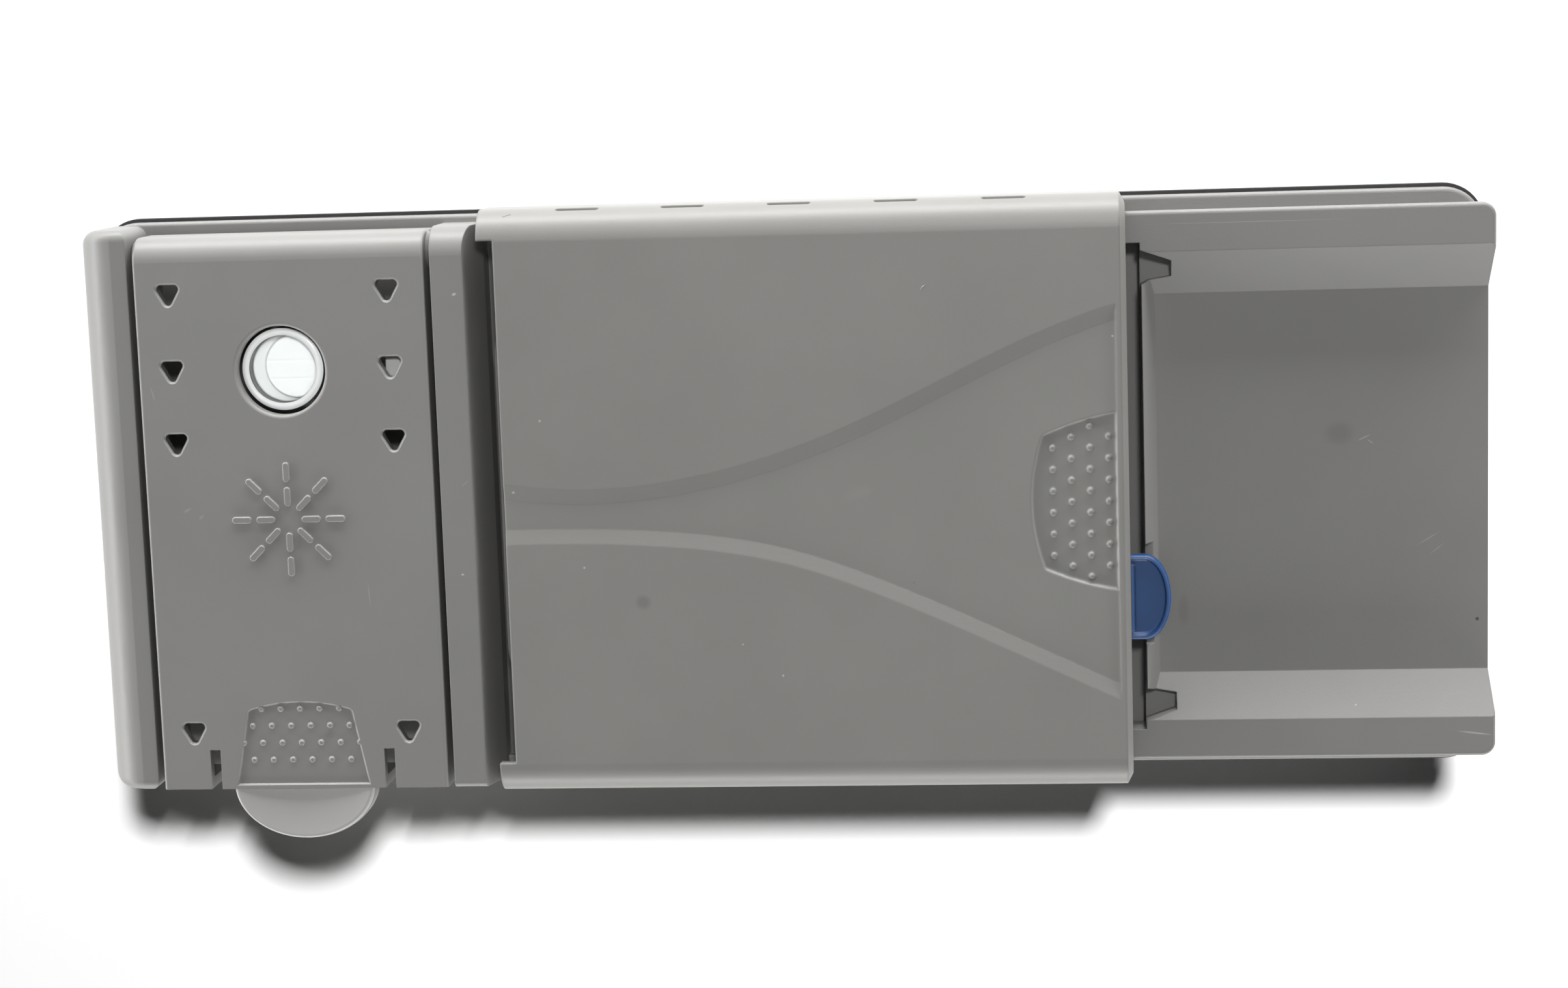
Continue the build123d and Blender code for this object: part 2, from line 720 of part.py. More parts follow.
    # Posts for the latch pin and the slot for the latch tail
    for edge_y in (latch_y - latch_half_width - latch_post_thickness, latch_y + latch_half_width):
        block(latch_pivot_x - latch_post_radius, latch_pivot_x + latch_post_radius, edge_y,
              edge_y + latch_post_thickness, flange_front - joint_depth, latch_pivot_z)
        with Locations(Plane(origin=(latch_pivot_x, edge_y, latch_pivot_z), z_dir=(0, 1, 0))):
            Cylinder(latch_post_radius, latch_post_thickness, align=(Align.CENTER, Align.CENTER, Align.MIN))
    with Locations(Plane(origin=(latch_pivot_x, latch_y, latch_pivot_z), z_dir=(0, 1, 0))):
        Cylinder(latch_pin_radius + pin_gap, 2 * (latch_half_width + latch_post_thickness + overrun),
                 mode=Mode.SUBTRACT)
    tail_room = latch_tail_thickness + latch_tail_gap
    block(latch_pivot_x - tail_room, latch_pivot_x + tail_room,
          latch_y - latch_tail_half_width - latch_tail_gap, latch_y + latch_tail_half_width + latch_tail_gap,
          flange_back - overrun, flange_front + overrun, mode=Mode.SUBTRACT)

    # Rear skirt with a passage for the link bar, ribs and screw bosses
    with BuildSketch(Plane.XY.offset(skirt_bottom)):
        panel(skirt_left, skirt_right, -skirt_half_height, skirt_half_height, skirt_corner)
        panel(skirt_left + wall, skirt_right - wall, -skirt_half_height + wall, skirt_half_height - wall,
              skirt_corner - wall, mode=Mode.SUBTRACT)
    extrude(amount=flange_back - skirt_bottom + joint_depth)
    block(skirt_left - overrun, skirt_left + wall + overrun, pump_y - piston_radius - slide_gap,
          pump_y + piston_radius + slide_gap, skirt_bottom - overrun, pump_z + link_half_height + slide_gap,
          mode=Mode.SUBTRACT)
    for x, y in screw_places:
        upright(x, y, skirt_bottom, flange_back + joint_depth, screw_boss_radius)
        upright(x, y, skirt_bottom - overrun, flange_back, screw_radius + pin_gap, mode=Mode.SUBTRACT)
    for rib_x in tray_rib_places:
        block(rib_x, rib_x + tray_rib_width, -tray_half_height, tray_half_height,
              tray_floor - wall - tray_rib_height, tray_floor - joint_depth)
base_frame.part.label = "base_frame"

# Gasket between the flange and the door
with BuildPart() as flange_gasket:
    with BuildSketch(Plane.XY):
        RectangleRounded(2 * (flange_half_length + gasket_overhang),
                         2 * (flange_half_height + gasket_overhang), flange_corner + gasket_overhang)
        RectangleRounded(2 * (skirt_right + gasket_gap_x), 2 * (skirt_half_height + gasket_gap_y),
                         gasket_inner_corner, mode=Mode.SUBTRACT)
    extrude(amount=gasket_thickness)
    chamfer(flange_gasket.edges().group_by(Axis.Z)[0], gasket_chamfer)
flange_gasket.part.label = "flange_gasket"

# Seal in the rim of the cup, just below the cover
with BuildPart() as cup_seal:
    with BuildSketch(Plane.XY.offset(cup_rim - seal_bed)):
        with Locations((cup_mid, 0)):
            seal_ring(seal_fit)
    extrude(amount=seal_bed + seal_rise)
    chamfer(cup_seal.edges().group_by(Axis.Z)[-1], seal_chamfer)
cup_seal.part.label = "cup_seal"

# Sliding cover: a C-shaped shell with lips that run under the rails
cover_under = cover_face - cover_plate
thumb_floor = cover_face - relief_depth - thumb_depth
thumb_mid_y = (thumb_top_y + thumb_bottom_y) / 2

with BuildPart() as sliding_cover:
    with BuildSketch(along_x(cover_skirt_left, 0, 0)) as cover_section:
        panel(cover_bottom, cover_top, cover_skirt_z, cover_face)
        fillet(cover_section.vertices().group_by(Axis.Y)[-1], cover_round)
    extrude(amount=cover_right - cover_skirt_left)
    with BuildSketch(along_x(cover_skirt_left - overrun, 0, 0)) as cover_hollow:
        panel(cover_bottom + cover_wall, cover_top - cover_wall, cover_skirt_z - overrun, cover_under)
        fillet(cover_hollow.vertices().group_by(Axis.Y)[-1], cover_round - cover_wall)
    extrude(amount=cover_right - cover_skirt_left + 2 * overrun, mode=Mode.SUBTRACT)
    block(cover_skirt_left, cover_right - cover_bevel_width, cover_lip_reach, cover_top - cover_wall / 2,
          cover_lip_low, cover_lip_high)
    block(cover_skirt_left, cover_right - cover_bevel_width, cover_bottom + cover_wall / 2, -cover_lip_reach,
          cover_lip_low, cover_lip_high)
    right_edge = sliding_cover.faces().sort_by(Axis.X)[-1].edges().filter_by(
        lambda edge: abs(edge.center().Z - cover_face) < 0.01)
    chamfer(right_edge, cover_bevel_depth, cover_bevel_width)
    block(cover_skirt_left - overrun, cover_left, -web_outer, web_outer, cover_face - cover_notch_depth,
          cover_face + overrun, mode=Mode.SUBTRACT)
    with BuildSketch(Plane.XY.offset(cover_face)):
        with BuildLine():
            Spline(*relief_upper)
            Line(relief_upper[-1], relief_lower[-1])
            Spline(*relief_lower[::-1])
            Line(relief_lower[0], relief_upper[0])
        make_face()
    extrude(amount=-relief_depth, mode=Mode.SUBTRACT)
    top_face = sliding_cover.faces().filter_by(Plane.XY).sort_by(Axis.Z)[-1]
    steps = top_face.edges().filter_by(GeomType.BSPLINE)
    chamfer(steps, relief_run, relief_depth - relief_ledge, reference=top_face)

    # Thumb pad with rows of dots
    with BuildSketch(Plane.XY.offset(cover_face - relief_depth)) as thumb_pad:
        with BuildLine():
            upper = (relief_right - thumb_corner_in, thumb_top_y - thumb_corner_drop)
            lower = (relief_right - thumb_corner_in, thumb_bottom_y + thumb_corner_drop)
            middle_x = relief_right - thumb_corner_in / 2
            ThreePointArc((relief_right, thumb_top_y),
                          (middle_x, thumb_top_y - thumb_corner_drop / 2 + thumb_bow), upper)
            ThreePointArc(upper, (relief_right - thumb_reach, thumb_mid_y), lower)
            ThreePointArc(lower, (middle_x, thumb_bottom_y + thumb_corner_drop / 2 - thumb_bow),
                          (relief_right, thumb_bottom_y))
            Line((relief_right, thumb_bottom_y), (relief_right, thumb_top_y))
        make_face()
        fillet(thumb_pad.vertices().group_by(Axis.X)[0], thumb_corner)
    extrude(amount=-thumb_depth, taper=thumb_slope, mode=Mode.SUBTRACT)
    for column, count in enumerate(reversed(thumb_column_counts)):
        column_x = relief_right - thumb_column_inset - column * thumb_column_pitch
        with Locations((column_x, thumb_column_y, thumb_floor)):
            with GridLocations(thumb_dot_pitch, thumb_dot_pitch, 1, count):
                Cone(thumb_dot_radius, thumb_dot_radius / 2, thumb_dot_height,
                     align=(Align.CENTER, Align.CENTER, Align.MIN))
    with BuildSketch(along_y(vent_middle_x, cover_top + overrun, vent_z)):
        with GridLocations(vent_pitch, vent_pitch, vent_count, 1):
            SlotOverall(vent_length, vent_height)
    extrude(amount=cover_wall + 3 * overrun, mode=Mode.SUBTRACT)
    for rib_x in (track_left, track_left + track_rib + track_gap):
        block(rib_x, rib_x + track_rib, track_low_y, track_high_y, track_bottom, cover_under)
    block(nose_rib_x, nose_rib_x + nose_rib_width, latch_y - latch_half_width, latch_y + latch_half_width,
          latch_nose_top + seat_gap, cover_under)
sliding_cover.part.label = "sliding_cover"

# Flap over the rinse-aid filler, with its pull tab and snap tongue
flap_mid_x = (flap_left + flap_right) / 2
flap_under = flap_face - flap_plate

with BuildPart() as rinse_flap:
    block(flap_left, flap_right, flap_bottom, flap_top, flap_skirt_z, flap_face)
    end_edges = rinse_flap.edges().filter_by(
        lambda edge: abs(edge.center().Z - flap_face) < 0.01 and abs(edge.center().Y - flap_top) < 0.01)
    fillet(end_edges, flap_end_round)
    side_edges = rinse_flap.edges().filter_by(
        lambda edge: abs(edge.center().Z - flap_face) < 0.01
        and abs(edge.center().X - flap_mid_x) > tab_half_width)
    fillet(side_edges, flap_edge_round)
    with BuildSketch(along_x(flap_left + flap_wall, 0, 0)) as flap_hollow:
        panel(flap_bottom + flap_wall, flap_top - flap_wall, flap_skirt_z - overrun, flap_under)
        fillet(flap_hollow.vertices().sort_by(Axis.Y)[-2:].sort_by(Axis.X)[-1:], flap_end_round - flap_wall)
    extrude(amount=flap_right - flap_left - 2 * flap_wall, mode=Mode.SUBTRACT)

    # Scooped pull tab
    with BuildSketch(Plane.XY.offset(flap_face - tab_rise - tab_thickness)):
        with Locations((pattern_x, tab_root_y)):
            Ellipse(tab_half_width, tab_reach)
            Rectangle(2 * tab_half_width + overrun, tab_reach + overrun, align=(Align.CENTER, Align.MIN),
                      mode=Mode.SUBTRACT)
    extrude(amount=tab_thickness)
    tab_edge = rinse_flap.edges().filter_by(
        lambda edge: edge.center().Y < flap_bottom - overrun and edge.center().Z > flap_face - tab_rise - 0.1)
    fillet(tab_edge, tab_edge_round)
    with BuildSketch(Plane.XY.offset(flap_face - tab_rise)) as scoop:
        with Locations((pattern_x, tab_root_y)):
            Ellipse(tab_half_width - tab_rim, tab_reach - tab_rim)
            Rectangle(2 * tab_half_width, tab_reach, align=(Align.CENTER, Align.MIN), mode=Mode.SUBTRACT)
        fillet(scoop.vertices(), tab_scoop_corner)
    extrude(amount=-tab_scoop_depth, mode=Mode.SUBTRACT)
    scoop_edges = rinse_flap.edges().filter_by(
        lambda edge: abs(edge.center().Z - flap_face + tab_rise + tab_scoop_depth) < 0.01
        and edge.center().Y < flap_bottom)
    fillet(scoop_edges, tab_scoop_round)

    # Sight hole, drain holes and flex slots
    upright(pattern_x, lens_y, flap_under - overrun, flap_face + overrun, sight_radius, mode=Mode.SUBTRACT)
    sight_edge = rinse_flap.edges().filter_by(GeomType.CIRCLE).filter_by(
        lambda edge: abs(edge.radius - sight_radius) < 0.01 and abs(edge.center().Z - flap_face) < 0.01)
    fillet(sight_edge, sight_round)
    with BuildSketch(Plane.XY.offset(flap_face)) as drains:
        for row in drain_rows:
            for side in (-1, 1):
                with BuildLine():
                    Polyline((pattern_x + side * drain_offset_x - drain_width / 2, row + drain_height / 2),
                             (pattern_x + side * drain_offset_x + drain_width / 2, row + drain_height / 2),
                             (pattern_x + side * drain_offset_x, row - drain_height / 2), close=True)
                make_face()
        fillet(drains.vertices(), drain_corner)
    extrude(amount=-flap_plate - overrun, mode=Mode.SUBTRACT)
    drain_edges = rinse_flap.edges().filter_by(
        lambda edge: abs(edge.center().Z - flap_face) < 0.01 and edge.length < drain_width
        and abs(abs(edge.center().X - pattern_x) - drain_offset_x) < drain_width / 2 + 0.1)
    chamfer(drain_edges, drain_bevel)
    for side in (-1, 1):
        slot_x = pattern_x + side * flex_slot_offset
        block(slot_x - flex_slot_width / 2, slot_x + flex_slot_width / 2, flap_bottom - overrun,
              flex_slot_top, flap_skirt_z - overrun, flap_face + overrun, mode=Mode.SUBTRACT)

    # Recessed grip with rows of dots
    with BuildSketch(Plane.XY.offset(flap_face)) as grip_pad:
        with BuildLine():
            Polyline((pattern_x - grip_bottom_half, tab_root_y), (pattern_x - grip_top_half, grip_shoulder_y))
            ThreePointArc((pattern_x - grip_top_half, grip_shoulder_y), (pattern_x, grip_top_y),
                          (pattern_x + grip_top_half, grip_shoulder_y))
            Polyline((pattern_x + grip_top_half, grip_shoulder_y), (pattern_x + grip_bottom_half, tab_root_y),
                     (pattern_x - grip_bottom_half, tab_root_y))
        make_face()
        fillet(grip_pad.vertices().sort_by(Axis.Y)[-2:], grip_corner)
    extrude(amount=-grip_depth, taper=thumb_slope, mode=Mode.SUBTRACT)
    for row, count in enumerate(grip_row_counts):
        with Locations((pattern_x, grip_row_y - row * grip_row_pitch, flap_face - grip_depth)):
            with GridLocations(grip_dot_pitch, grip_dot_pitch, count, 1):
                Cone(grip_dot_radius, grip_dot_radius / 2, grip_dot_height,
                     align=(Align.CENTER, Align.CENTER, Align.MIN))

    # Raised rays of dashes round the middle
    with BuildSketch(Plane.XY.offset(flap_face - joint_depth)):
        for start, end in (dash_inner, dash_outer):
            with Locations((pattern_x, symbol_y)):
                with PolarLocations((start + end) / 2, symbol_rays):
                    SlotOverall(end - start, dash_width)
    extrude(amount=joint_depth + dash_height)
    dash_edges = rinse_flap.edges().group_by(Axis.Z)[-1]
    chamfer(dash_edges, dash_round)

    # Domed cheeks and pivots at the hinge, and the ring that carries the seal
    for face_x, outward in ((flap_left, -1), (flap_right, 1)):
        root_x = face_x - outward * joint_depth
        with Locations(Plane(origin=(root_x, hinge_y, hinge_z), z_dir=(outward, 0, 0))):
            Cone(hinge_cheek_radius, hinge_cheek_radius - hinge_cheek_height,
                 joint_depth + hinge_cheek_height, align=(Align.CENTER, Align.CENTER, Align.MIN))
            Cylinder(hinge_pin_radius, joint_depth + hinge_pin_length,
                     align=(Align.CENTER, Align.CENTER, Align.MIN))
    upright(pattern_x, neck_y, flap_under - seal_ring_height, flap_under + joint_depth,
            flap_seal_inner - seal_fit)
    upright(pattern_x, neck_y, flap_under - seal_ring_height - overrun, flap_under,
            flap_seal_inner - seal_fit - seal_ring_wall, mode=Mode.SUBTRACT)
    block(pattern_x - snap_half_width, pattern_x + snap_half_width, flap_bottom,
          snap_rib_y - snap_lip - seat_gap, flap_skirt_z, flap_skirt_z + snap_lip_height)
rinse_flap.part.label = "rinse_flap"

# Ring seal under the flap
with BuildPart() as flap_seal:
    upright(pattern_x, neck_y, neck_top + seat_gap, flap_under, flap_seal_outer)
    upright(pattern_x, neck_y, neck_top, flap_under + overrun, flap_seal_inner, mode=Mode.SUBTRACT)
    chamfer(flap_seal.edges().group_by(Axis.Z)[0], seal_chamfer)
flap_seal.part.label = "flap_seal"

# Clear level lens, a hollow thimble with a wing
lens_seat = lens_boss_top + lens_seal_thickness
lens_head_z = lens_seat + lens_flange_thickness

with BuildPart() as level_lens:
    with BuildSketch(Plane(origin=(lens_x, lens_y, 0), x_dir=(1, 0, 0), z_dir=(0, -1, 0))):
        with BuildLine():
            Polyline((0, lens_top), (lens_head_radius, lens_top), (lens_head_radius, lens_head_z),
                     (lens_flange_radius, lens_head_z), (lens_flange_radius, lens_seat),
                     (lens_stem_radius, lens_seat), (lens_stem_radius, lens_stem_bottom),
                     (lens_stem_radius - lens_wall, lens_stem_bottom),
                     (lens_stem_radius - lens_wall, lens_seat),
                     (lens_head_radius - lens_wall, lens_head_z),
                     (lens_head_radius - lens_wall, lens_top - lens_window),
                     (0, lens_top - lens_window), close=True)
        make_face()
    revolve(axis=Axis((lens_x, lens_y, 0), (0, 0, 1)))
    fillet(level_lens.edges().group_by(Axis.Z)[-1], lens_edge_round)
    block(lens_x + lens_head_radius, lens_x + lens_wing_reach, lens_y - lens_wing_width / 2,
          lens_y + lens_wing_width / 2, lens_seat, lens_head_z)
level_lens.part.label = "level_lens"

with BuildPart() as lens_seal:
    upright(lens_x, lens_y, lens_boss_top, lens_seat, lens_boss_radius - pin_gap)
    upright(lens_x, lens_y, lens_boss_top - overrun, lens_seat + overrun, lens_stem_radius + slide_gap,
            mode=Mode.SUBTRACT)
lens_seal.part.label = "lens_seal"

# Dosing dial with its grip bar and spindle
dial_low = dial_boss_top + seat_gap
with BuildPart() as dosing_dial:
    upright(pattern_x, dial_y, dial_low, dial_low + dial_thickness, dial_radius)
    chamfer(dosing_dial.edges().group_by(Axis.Z)[-1], dial_chamfer)
    upright(pattern_x, dial_y, flange_back - dial_spindle_end, dial_low, dial_spindle_radius)
    with BuildSketch(Plane.XY.offset(dial_low + dial_thickness)):
        with Locations((pattern_x, dial_y)):
            SlotOverall(2 * (dial_radius - dial_grip_inset), dial_grip_width, rotation=90)
    extrude(amount=dial_grip_height)
dosing_dial.part.label = "dosing_dial"

# Strainer basket in the filler neck
strainer_radius = neck_ledge_bore - slide_gap
strainer_bottom = flange_back - strainer_depth
with BuildPart() as filler_strainer:
    upright(pattern_x, neck_y, neck_ledge, neck_ledge + strainer_wall, neck_bore - slide_gap)
    upright(pattern_x, neck_y, strainer_bottom, neck_ledge + strainer_wall, strainer_radius)
    upright(pattern_x, neck_y, strainer_bottom + strainer_wall, neck_ledge + strainer_wall + overrun,
            strainer_radius - strainer_wall, mode=Mode.SUBTRACT)
    with Locations((pattern_x, neck_y, strainer_bottom + 2 * strainer_wall)):
        with PolarLocations(strainer_radius, strainer_slots):
            Box(4 * strainer_wall, strainer_slot_width, flange_back - strainer_bottom - 4 * strainer_wall,
                align=(Align.CENTER, Align.CENTER, Align.MIN), mode=Mode.SUBTRACT)
    with Locations((pattern_x, neck_y, strainer_bottom)):
        with GridLocations(strainer_mesh_pitch, strainer_mesh_pitch,
                           strainer_mesh_count, strainer_mesh_count):
            Box(strainer_mesh, strainer_mesh, 4 * strainer_wall, mode=Mode.SUBTRACT)
filler_strainer.part.label = "filler_strainer"

# Rinse-aid tank with the barrel of the dosing pump in its side
barrel_inner = piston_radius + slide_gap
barrel_end = tank_right - pump_length
with BuildPart() as rinse_tank:
    with BuildSketch(Plane.XY.offset(tank_back)):
        panel(tank_left, tank_right, -skirt_half_height, skirt_half_height, tank_corner)
    extrude(amount=flange_back - tank_back)
    fillet(rinse_tank.edges().group_by(Axis.Z)[0], tank_edge_round)
    with BuildSketch(Plane.XY.offset(tank_back + wall)):
        panel(tank_left + wall, tank_right - wall, -skirt_half_height + wall, skirt_half_height - wall,
              tank_corner - wall)
    extrude(amount=flange_back - tank_back, mode=Mode.SUBTRACT)
    with Locations(Plane(origin=(barrel_end, pump_y, pump_z), z_dir=(1, 0, 0))):
        Cylinder(barrel_inner + pump_wall, pump_length, align=(Align.CENTER, Align.CENTER, Align.MIN))
    with Locations(Plane(origin=(barrel_end + pump_wall, pump_y, pump_z), z_dir=(1, 0, 0))):
        Cylinder(barrel_inner, pump_length, align=(Align.CENTER, Align.CENTER, Align.MIN), mode=Mode.SUBTRACT)
    with Locations(Plane(origin=(barrel_end - overrun, pump_y, pump_z), z_dir=(1, 0, 0))):
        Cylinder(pump_port_radius, pump_wall + 2 * overrun, align=(Align.CENTER, Align.CENTER, Align.MIN),
                 mode=Mode.SUBTRACT)
    for rib_y in (-tank_rib_y, tank_rib_y):
        block(tank_left + tank_rib_inset, tank_right - tank_rib_inset, rib_y - tank_rib_width / 2,
              rib_y + tank_rib_width / 2, tank_back + wall - joint_depth, tank_back + tank_rib_height)
rinse_tank.part.label = "rinse_tank"

# Dosing piston, its lip seal and return spring
piston_left = tank_right - piston_length
link_left = tank_right + link_travel + seat_gap
with BuildPart() as dosing_piston:
    with Locations(Plane(origin=(piston_left, pump_y, pump_z), z_dir=(1, 0, 0))):
        Cylinder(piston_radius, link_left - piston_left, align=(Align.CENTER, Align.CENTER, Align.MIN))
    with Locations(Plane(origin=(piston_left + piston_land, pump_y, pump_z), z_dir=(1, 0, 0))):
        Cylinder(piston_radius + overrun, piston_groove, align=(Align.CENTER, Align.CENTER, Align.MIN),
                 mode=Mode.SUBTRACT)
        Cylinder(piston_core, piston_groove, align=(Align.CENTER, Align.CENTER, Align.MIN))
dosing_piston.part.label = "dosing_piston"

with BuildPart() as piston_seal:
    with Locations(Plane(origin=(piston_left + piston_land + pin_gap, pump_y, pump_z), z_dir=(1, 0, 0))):
        Cylinder(piston_radius + slide_gap / 2, piston_groove - 2 * pin_gap,
                 align=(Align.CENTER, Align.CENTER, Align.MIN))
        Cylinder(piston_core + pin_gap, piston_groove - 2 * pin_gap,
                 align=(Align.CENTER, Align.CENTER, Align.MIN), mode=Mode.SUBTRACT)
piston_seal.part.label = "piston_seal"

spring_left = barrel_end + pump_wall + seat_gap
piston_spring = coil_spring(Plane(origin=(spring_left, pump_y, pump_z), z_dir=(1, 0, 0)),
                            piston_spring_radius, piston_wire, piston_left - seat_gap - spring_left,
                            piston_spring_turns)
piston_spring.label = "piston_spring"

# Link bar, slotted at the lever end
with BuildPart() as link_bar:
    block(link_left, lever_x + link_end, pump_y - link_half_width, pump_y + link_half_width,
          pump_z - link_half_height, pump_z + link_half_height)
    with BuildSketch(along_y(lever_x, pump_y, lever_z + lever_drive_reach)):
        SlotOverall(2 * (lever_link_pin + slide_gap) + link_slot_play, 2 * (lever_link_pin + slide_gap),
                    rotation=90)
    extrude(amount=link_half_width + overrun, both=True, mode=Mode.SUBTRACT)
link_bar.part.label = "link_bar"

# Latch: pad, nose, arm, hub and tail in one moulding
def latch_outline(inset):
    """Draw the latch pad: straight where the cover hides it, half an ellipse beside the cover."""
    half = latch_half_width - inset
    with Locations((latch_pad_middle, latch_y)):
        Ellipse(latch_pad_reach - inset, half)
        Rectangle(2 * latch_pad_reach, 2 * half, align=(Align.MAX, Align.CENTER), mode=Mode.SUBTRACT)
    panel(latch_pad_left + inset, latch_pad_middle, latch_y - half, latch_y + half)


with BuildPart() as latch:
    with Locations(Plane(origin=(latch_pivot_x, latch_y, latch_pivot_z), z_dir=(0, 1, 0))):
        Cylinder(latch_hub_radius, 2 * (latch_half_width - seat_gap))
    with BuildSketch(along_y(0, latch_y, 0)):
        with BuildLine():
            Polyline((latch_pivot_x - 1.0, latch_pivot_z), (latch_pivot_x + 4.0, latch_arm_top),
                     (latch_nose_x, latch_arm_top), (latch_nose_x, latch_nose_top),
                     (latch_nose_x + 1.0, latch_nose_top), (latch_pad_left + 1.4, latch_pad_top),
                     (latch_pad_left + 1.4, latch_arm_top),
                     (latch_nose_x, latch_arm_top - latch_arm_thickness + 1.4),
                     (latch_pivot_x + 5.0, latch_arm_top - latch_arm_thickness),
                     (latch_pivot_x + 2.6, latch_pivot_z), close=True)
        make_face()
    extrude(amount=latch_half_width - 1.5, both=True)
    with BuildSketch(Plane.XY.offset(latch_pad_top - latch_pad_thickness)):
        latch_outline(0.0)
    extrude(amount=latch_pad_thickness)
    pad_edge = latch.edges().filter_by(
        lambda edge: abs(edge.center().Z - latch_pad_top) < 0.01
        and (edge.center().X > latch_pad_middle or abs(edge.center().Y - latch_y) > latch_half_width - 0.01))
    fillet(pad_edge, latch_pad_round)
    with BuildSketch(Plane.XY.offset(latch_pad_top)):
        latch_outline(latch_pad_rim)
    extrude(amount=-latch_pad_recess, mode=Mode.SUBTRACT)
    recess_edges = latch.edges().filter_by(
        lambda edge: abs(edge.center().Z - latch_pad_top + latch_pad_recess) < 0.01
        and edge.center().X > latch_pad_middle)
    fillet(recess_edges, latch_pad_recess - pin_gap)
    block(latch_pivot_x - latch_tail_thickness / 2, latch_pivot_x + latch_tail_thickness / 2,
          latch_y - latch_tail_half_width, latch_y + latch_tail_half_width, latch_tail_bottom, latch_pivot_z)
    with Locations(Plane(origin=(latch_pivot_x, latch_y, latch_pivot_z), z_dir=(0, 1, 0))):
        Cylinder(latch_pin_radius + pin_gap, 2 * (latch_half_width + overrun), mode=Mode.SUBTRACT)
latch.part.label = "latch"

with BuildPart() as latch_pin:
    with Locations(Plane(origin=(latch_pivot_x, latch_y, latch_pivot_z), z_dir=(0, 1, 0))):
        Cylinder(latch_pin_radius, 2 * (latch_half_width + latch_post_thickness))
    chamfer(latch_pin.edges().filter_by(GeomType.CIRCLE), pin_chamfer)
latch_pin.part.label = "latch_pin"

latch_spring = coil_spring(Plane((latch_spring_x, latch_y, flange_front + seat_gap)), latch_spring_radius,
                           wire_radius, latch_arm_top - latch_arm_thickness - flange_front - 2 * seat_gap,
                           latch_spring_turns)
latch_spring.label = "latch_spring"

# Wire spring that throws the cover open: a coil with two long arms
coil_base = flange_front + wire_radius + seat_gap
arm_tip_x = track_left + track_rib + track_gap / 2
coil_step = 1.9 * wire_radius
with BuildPart() as cover_spring:
    for turn in range(coil_turns):
        with Locations((coil_x, coil_y, coil_base + turn * coil_step)):
            Torus(coil_mean, wire_radius)
    with BuildLine():
        lower_arm = Line((coil_x, coil_y - coil_mean, coil_base), (arm_foot_x, arm_foot_y, coil_base))
    with BuildSketch(Plane(origin=lower_arm @ 0, z_dir=lower_arm % 0)):
        Circle(wire_radius)
    sweep(path=lower_arm)
    with BuildLine():
        upper_arm = FilletPolyline((coil_x, coil_y + coil_mean, coil_base + (coil_turns - 1) * coil_step),
                                   (arm_tip_x, arm_tip_y, track_bottom - wire_radius - 3 * seat_gap),
                                   (arm_tip_x, arm_tip_y, cover_under - seat_gap), radius=arm_bend)
    with BuildSketch(Plane(origin=upper_arm @ 0, z_dir=upper_arm % 0)):
        Circle(wire_radius)
    sweep(path=upper_arm)
cover_spring.part.label = "cover_spring"

# Actuator housing: tub on the back that holds coil and lever
housing_top = skirt_bottom
housing_floor = housing_back + wall
lug_left = lever_x - lug_half_width
lug_right = lever_x + lug_half_width
lug_y_far = wall - skirt_half_height
with BuildPart() as actuator_housing:
    with BuildSketch(Plane.XY.offset(housing_back)):
        panel(housing_left, skirt_right, -skirt_half_height, skirt_half_height, skirt_corner)
    extrude(amount=housing_top - housing_back)
    fillet(actuator_housing.edges().group_by(Axis.Z)[0], housing_edge_round)
    with BuildSketch(Plane.XY.offset(housing_floor)):
        panel(housing_left + wall, skirt_right - wall, -skirt_half_height + wall, skirt_half_height - wall,
              skirt_corner - wall)
    extrude(amount=housing_top - housing_floor, mode=Mode.SUBTRACT)
    for x, y in screw_places:
        upright(x, y, housing_back, housing_top, screw_column_radius)
        upright(x, y, housing_back - overrun, housing_top + overrun, screw_radius + slide_gap,
                mode=Mode.SUBTRACT)
        upright(x, y, housing_back - overrun, screw_seat_z, screw_head_radius + slide_gap,
                mode=Mode.SUBTRACT)
    block(lug_left, lug_right, lug_y_far - joint_depth, lug_y_far + lug_thickness,
          housing_floor - joint_depth, lever_z + lug_rise)
    block(lug_left, lug_right, near_lug_y, near_lug_y + near_lug_thickness,
          housing_floor - joint_depth, lever_z + lug_rise)
    with Locations(Plane(origin=(lever_x, lug_y_far, lever_z), z_dir=(0, 1, 0))):
        Cylinder(lever_pin_radius + pin_gap, near_lug_y + near_lug_thickness + overrun - lug_y_far,
                 align=(Align.CENTER, Align.CENTER, Align.MIN), mode=Mode.SUBTRACT)
    for side in (-1, 1):
        guide = latch_y + side * (yoke_half + slide_gap + guide_thickness / 2)
        block(coil_left + guide_inset, coil_right - guide_inset, guide - guide_thickness / 2,
              guide + guide_thickness / 2, housing_floor - joint_depth, coil_z)
    block(skirt_right - wall - overrun, skirt_right + overrun,
          latch_y - blade_window_half, latch_y + blade_window_half,
          coil_z - blade_window_rise, coil_z + blade_window_rise, mode=Mode.SUBTRACT)
    for rib_y in housing_rib_places:
        block(housing_left + overrun, skirt_right - overrun, rib_y - housing_rib_width / 2,
              rib_y + housing_rib_width / 2, housing_floor - joint_depth, housing_floor + housing_rib_height)
actuator_housing.part.label = "actuator_housing"

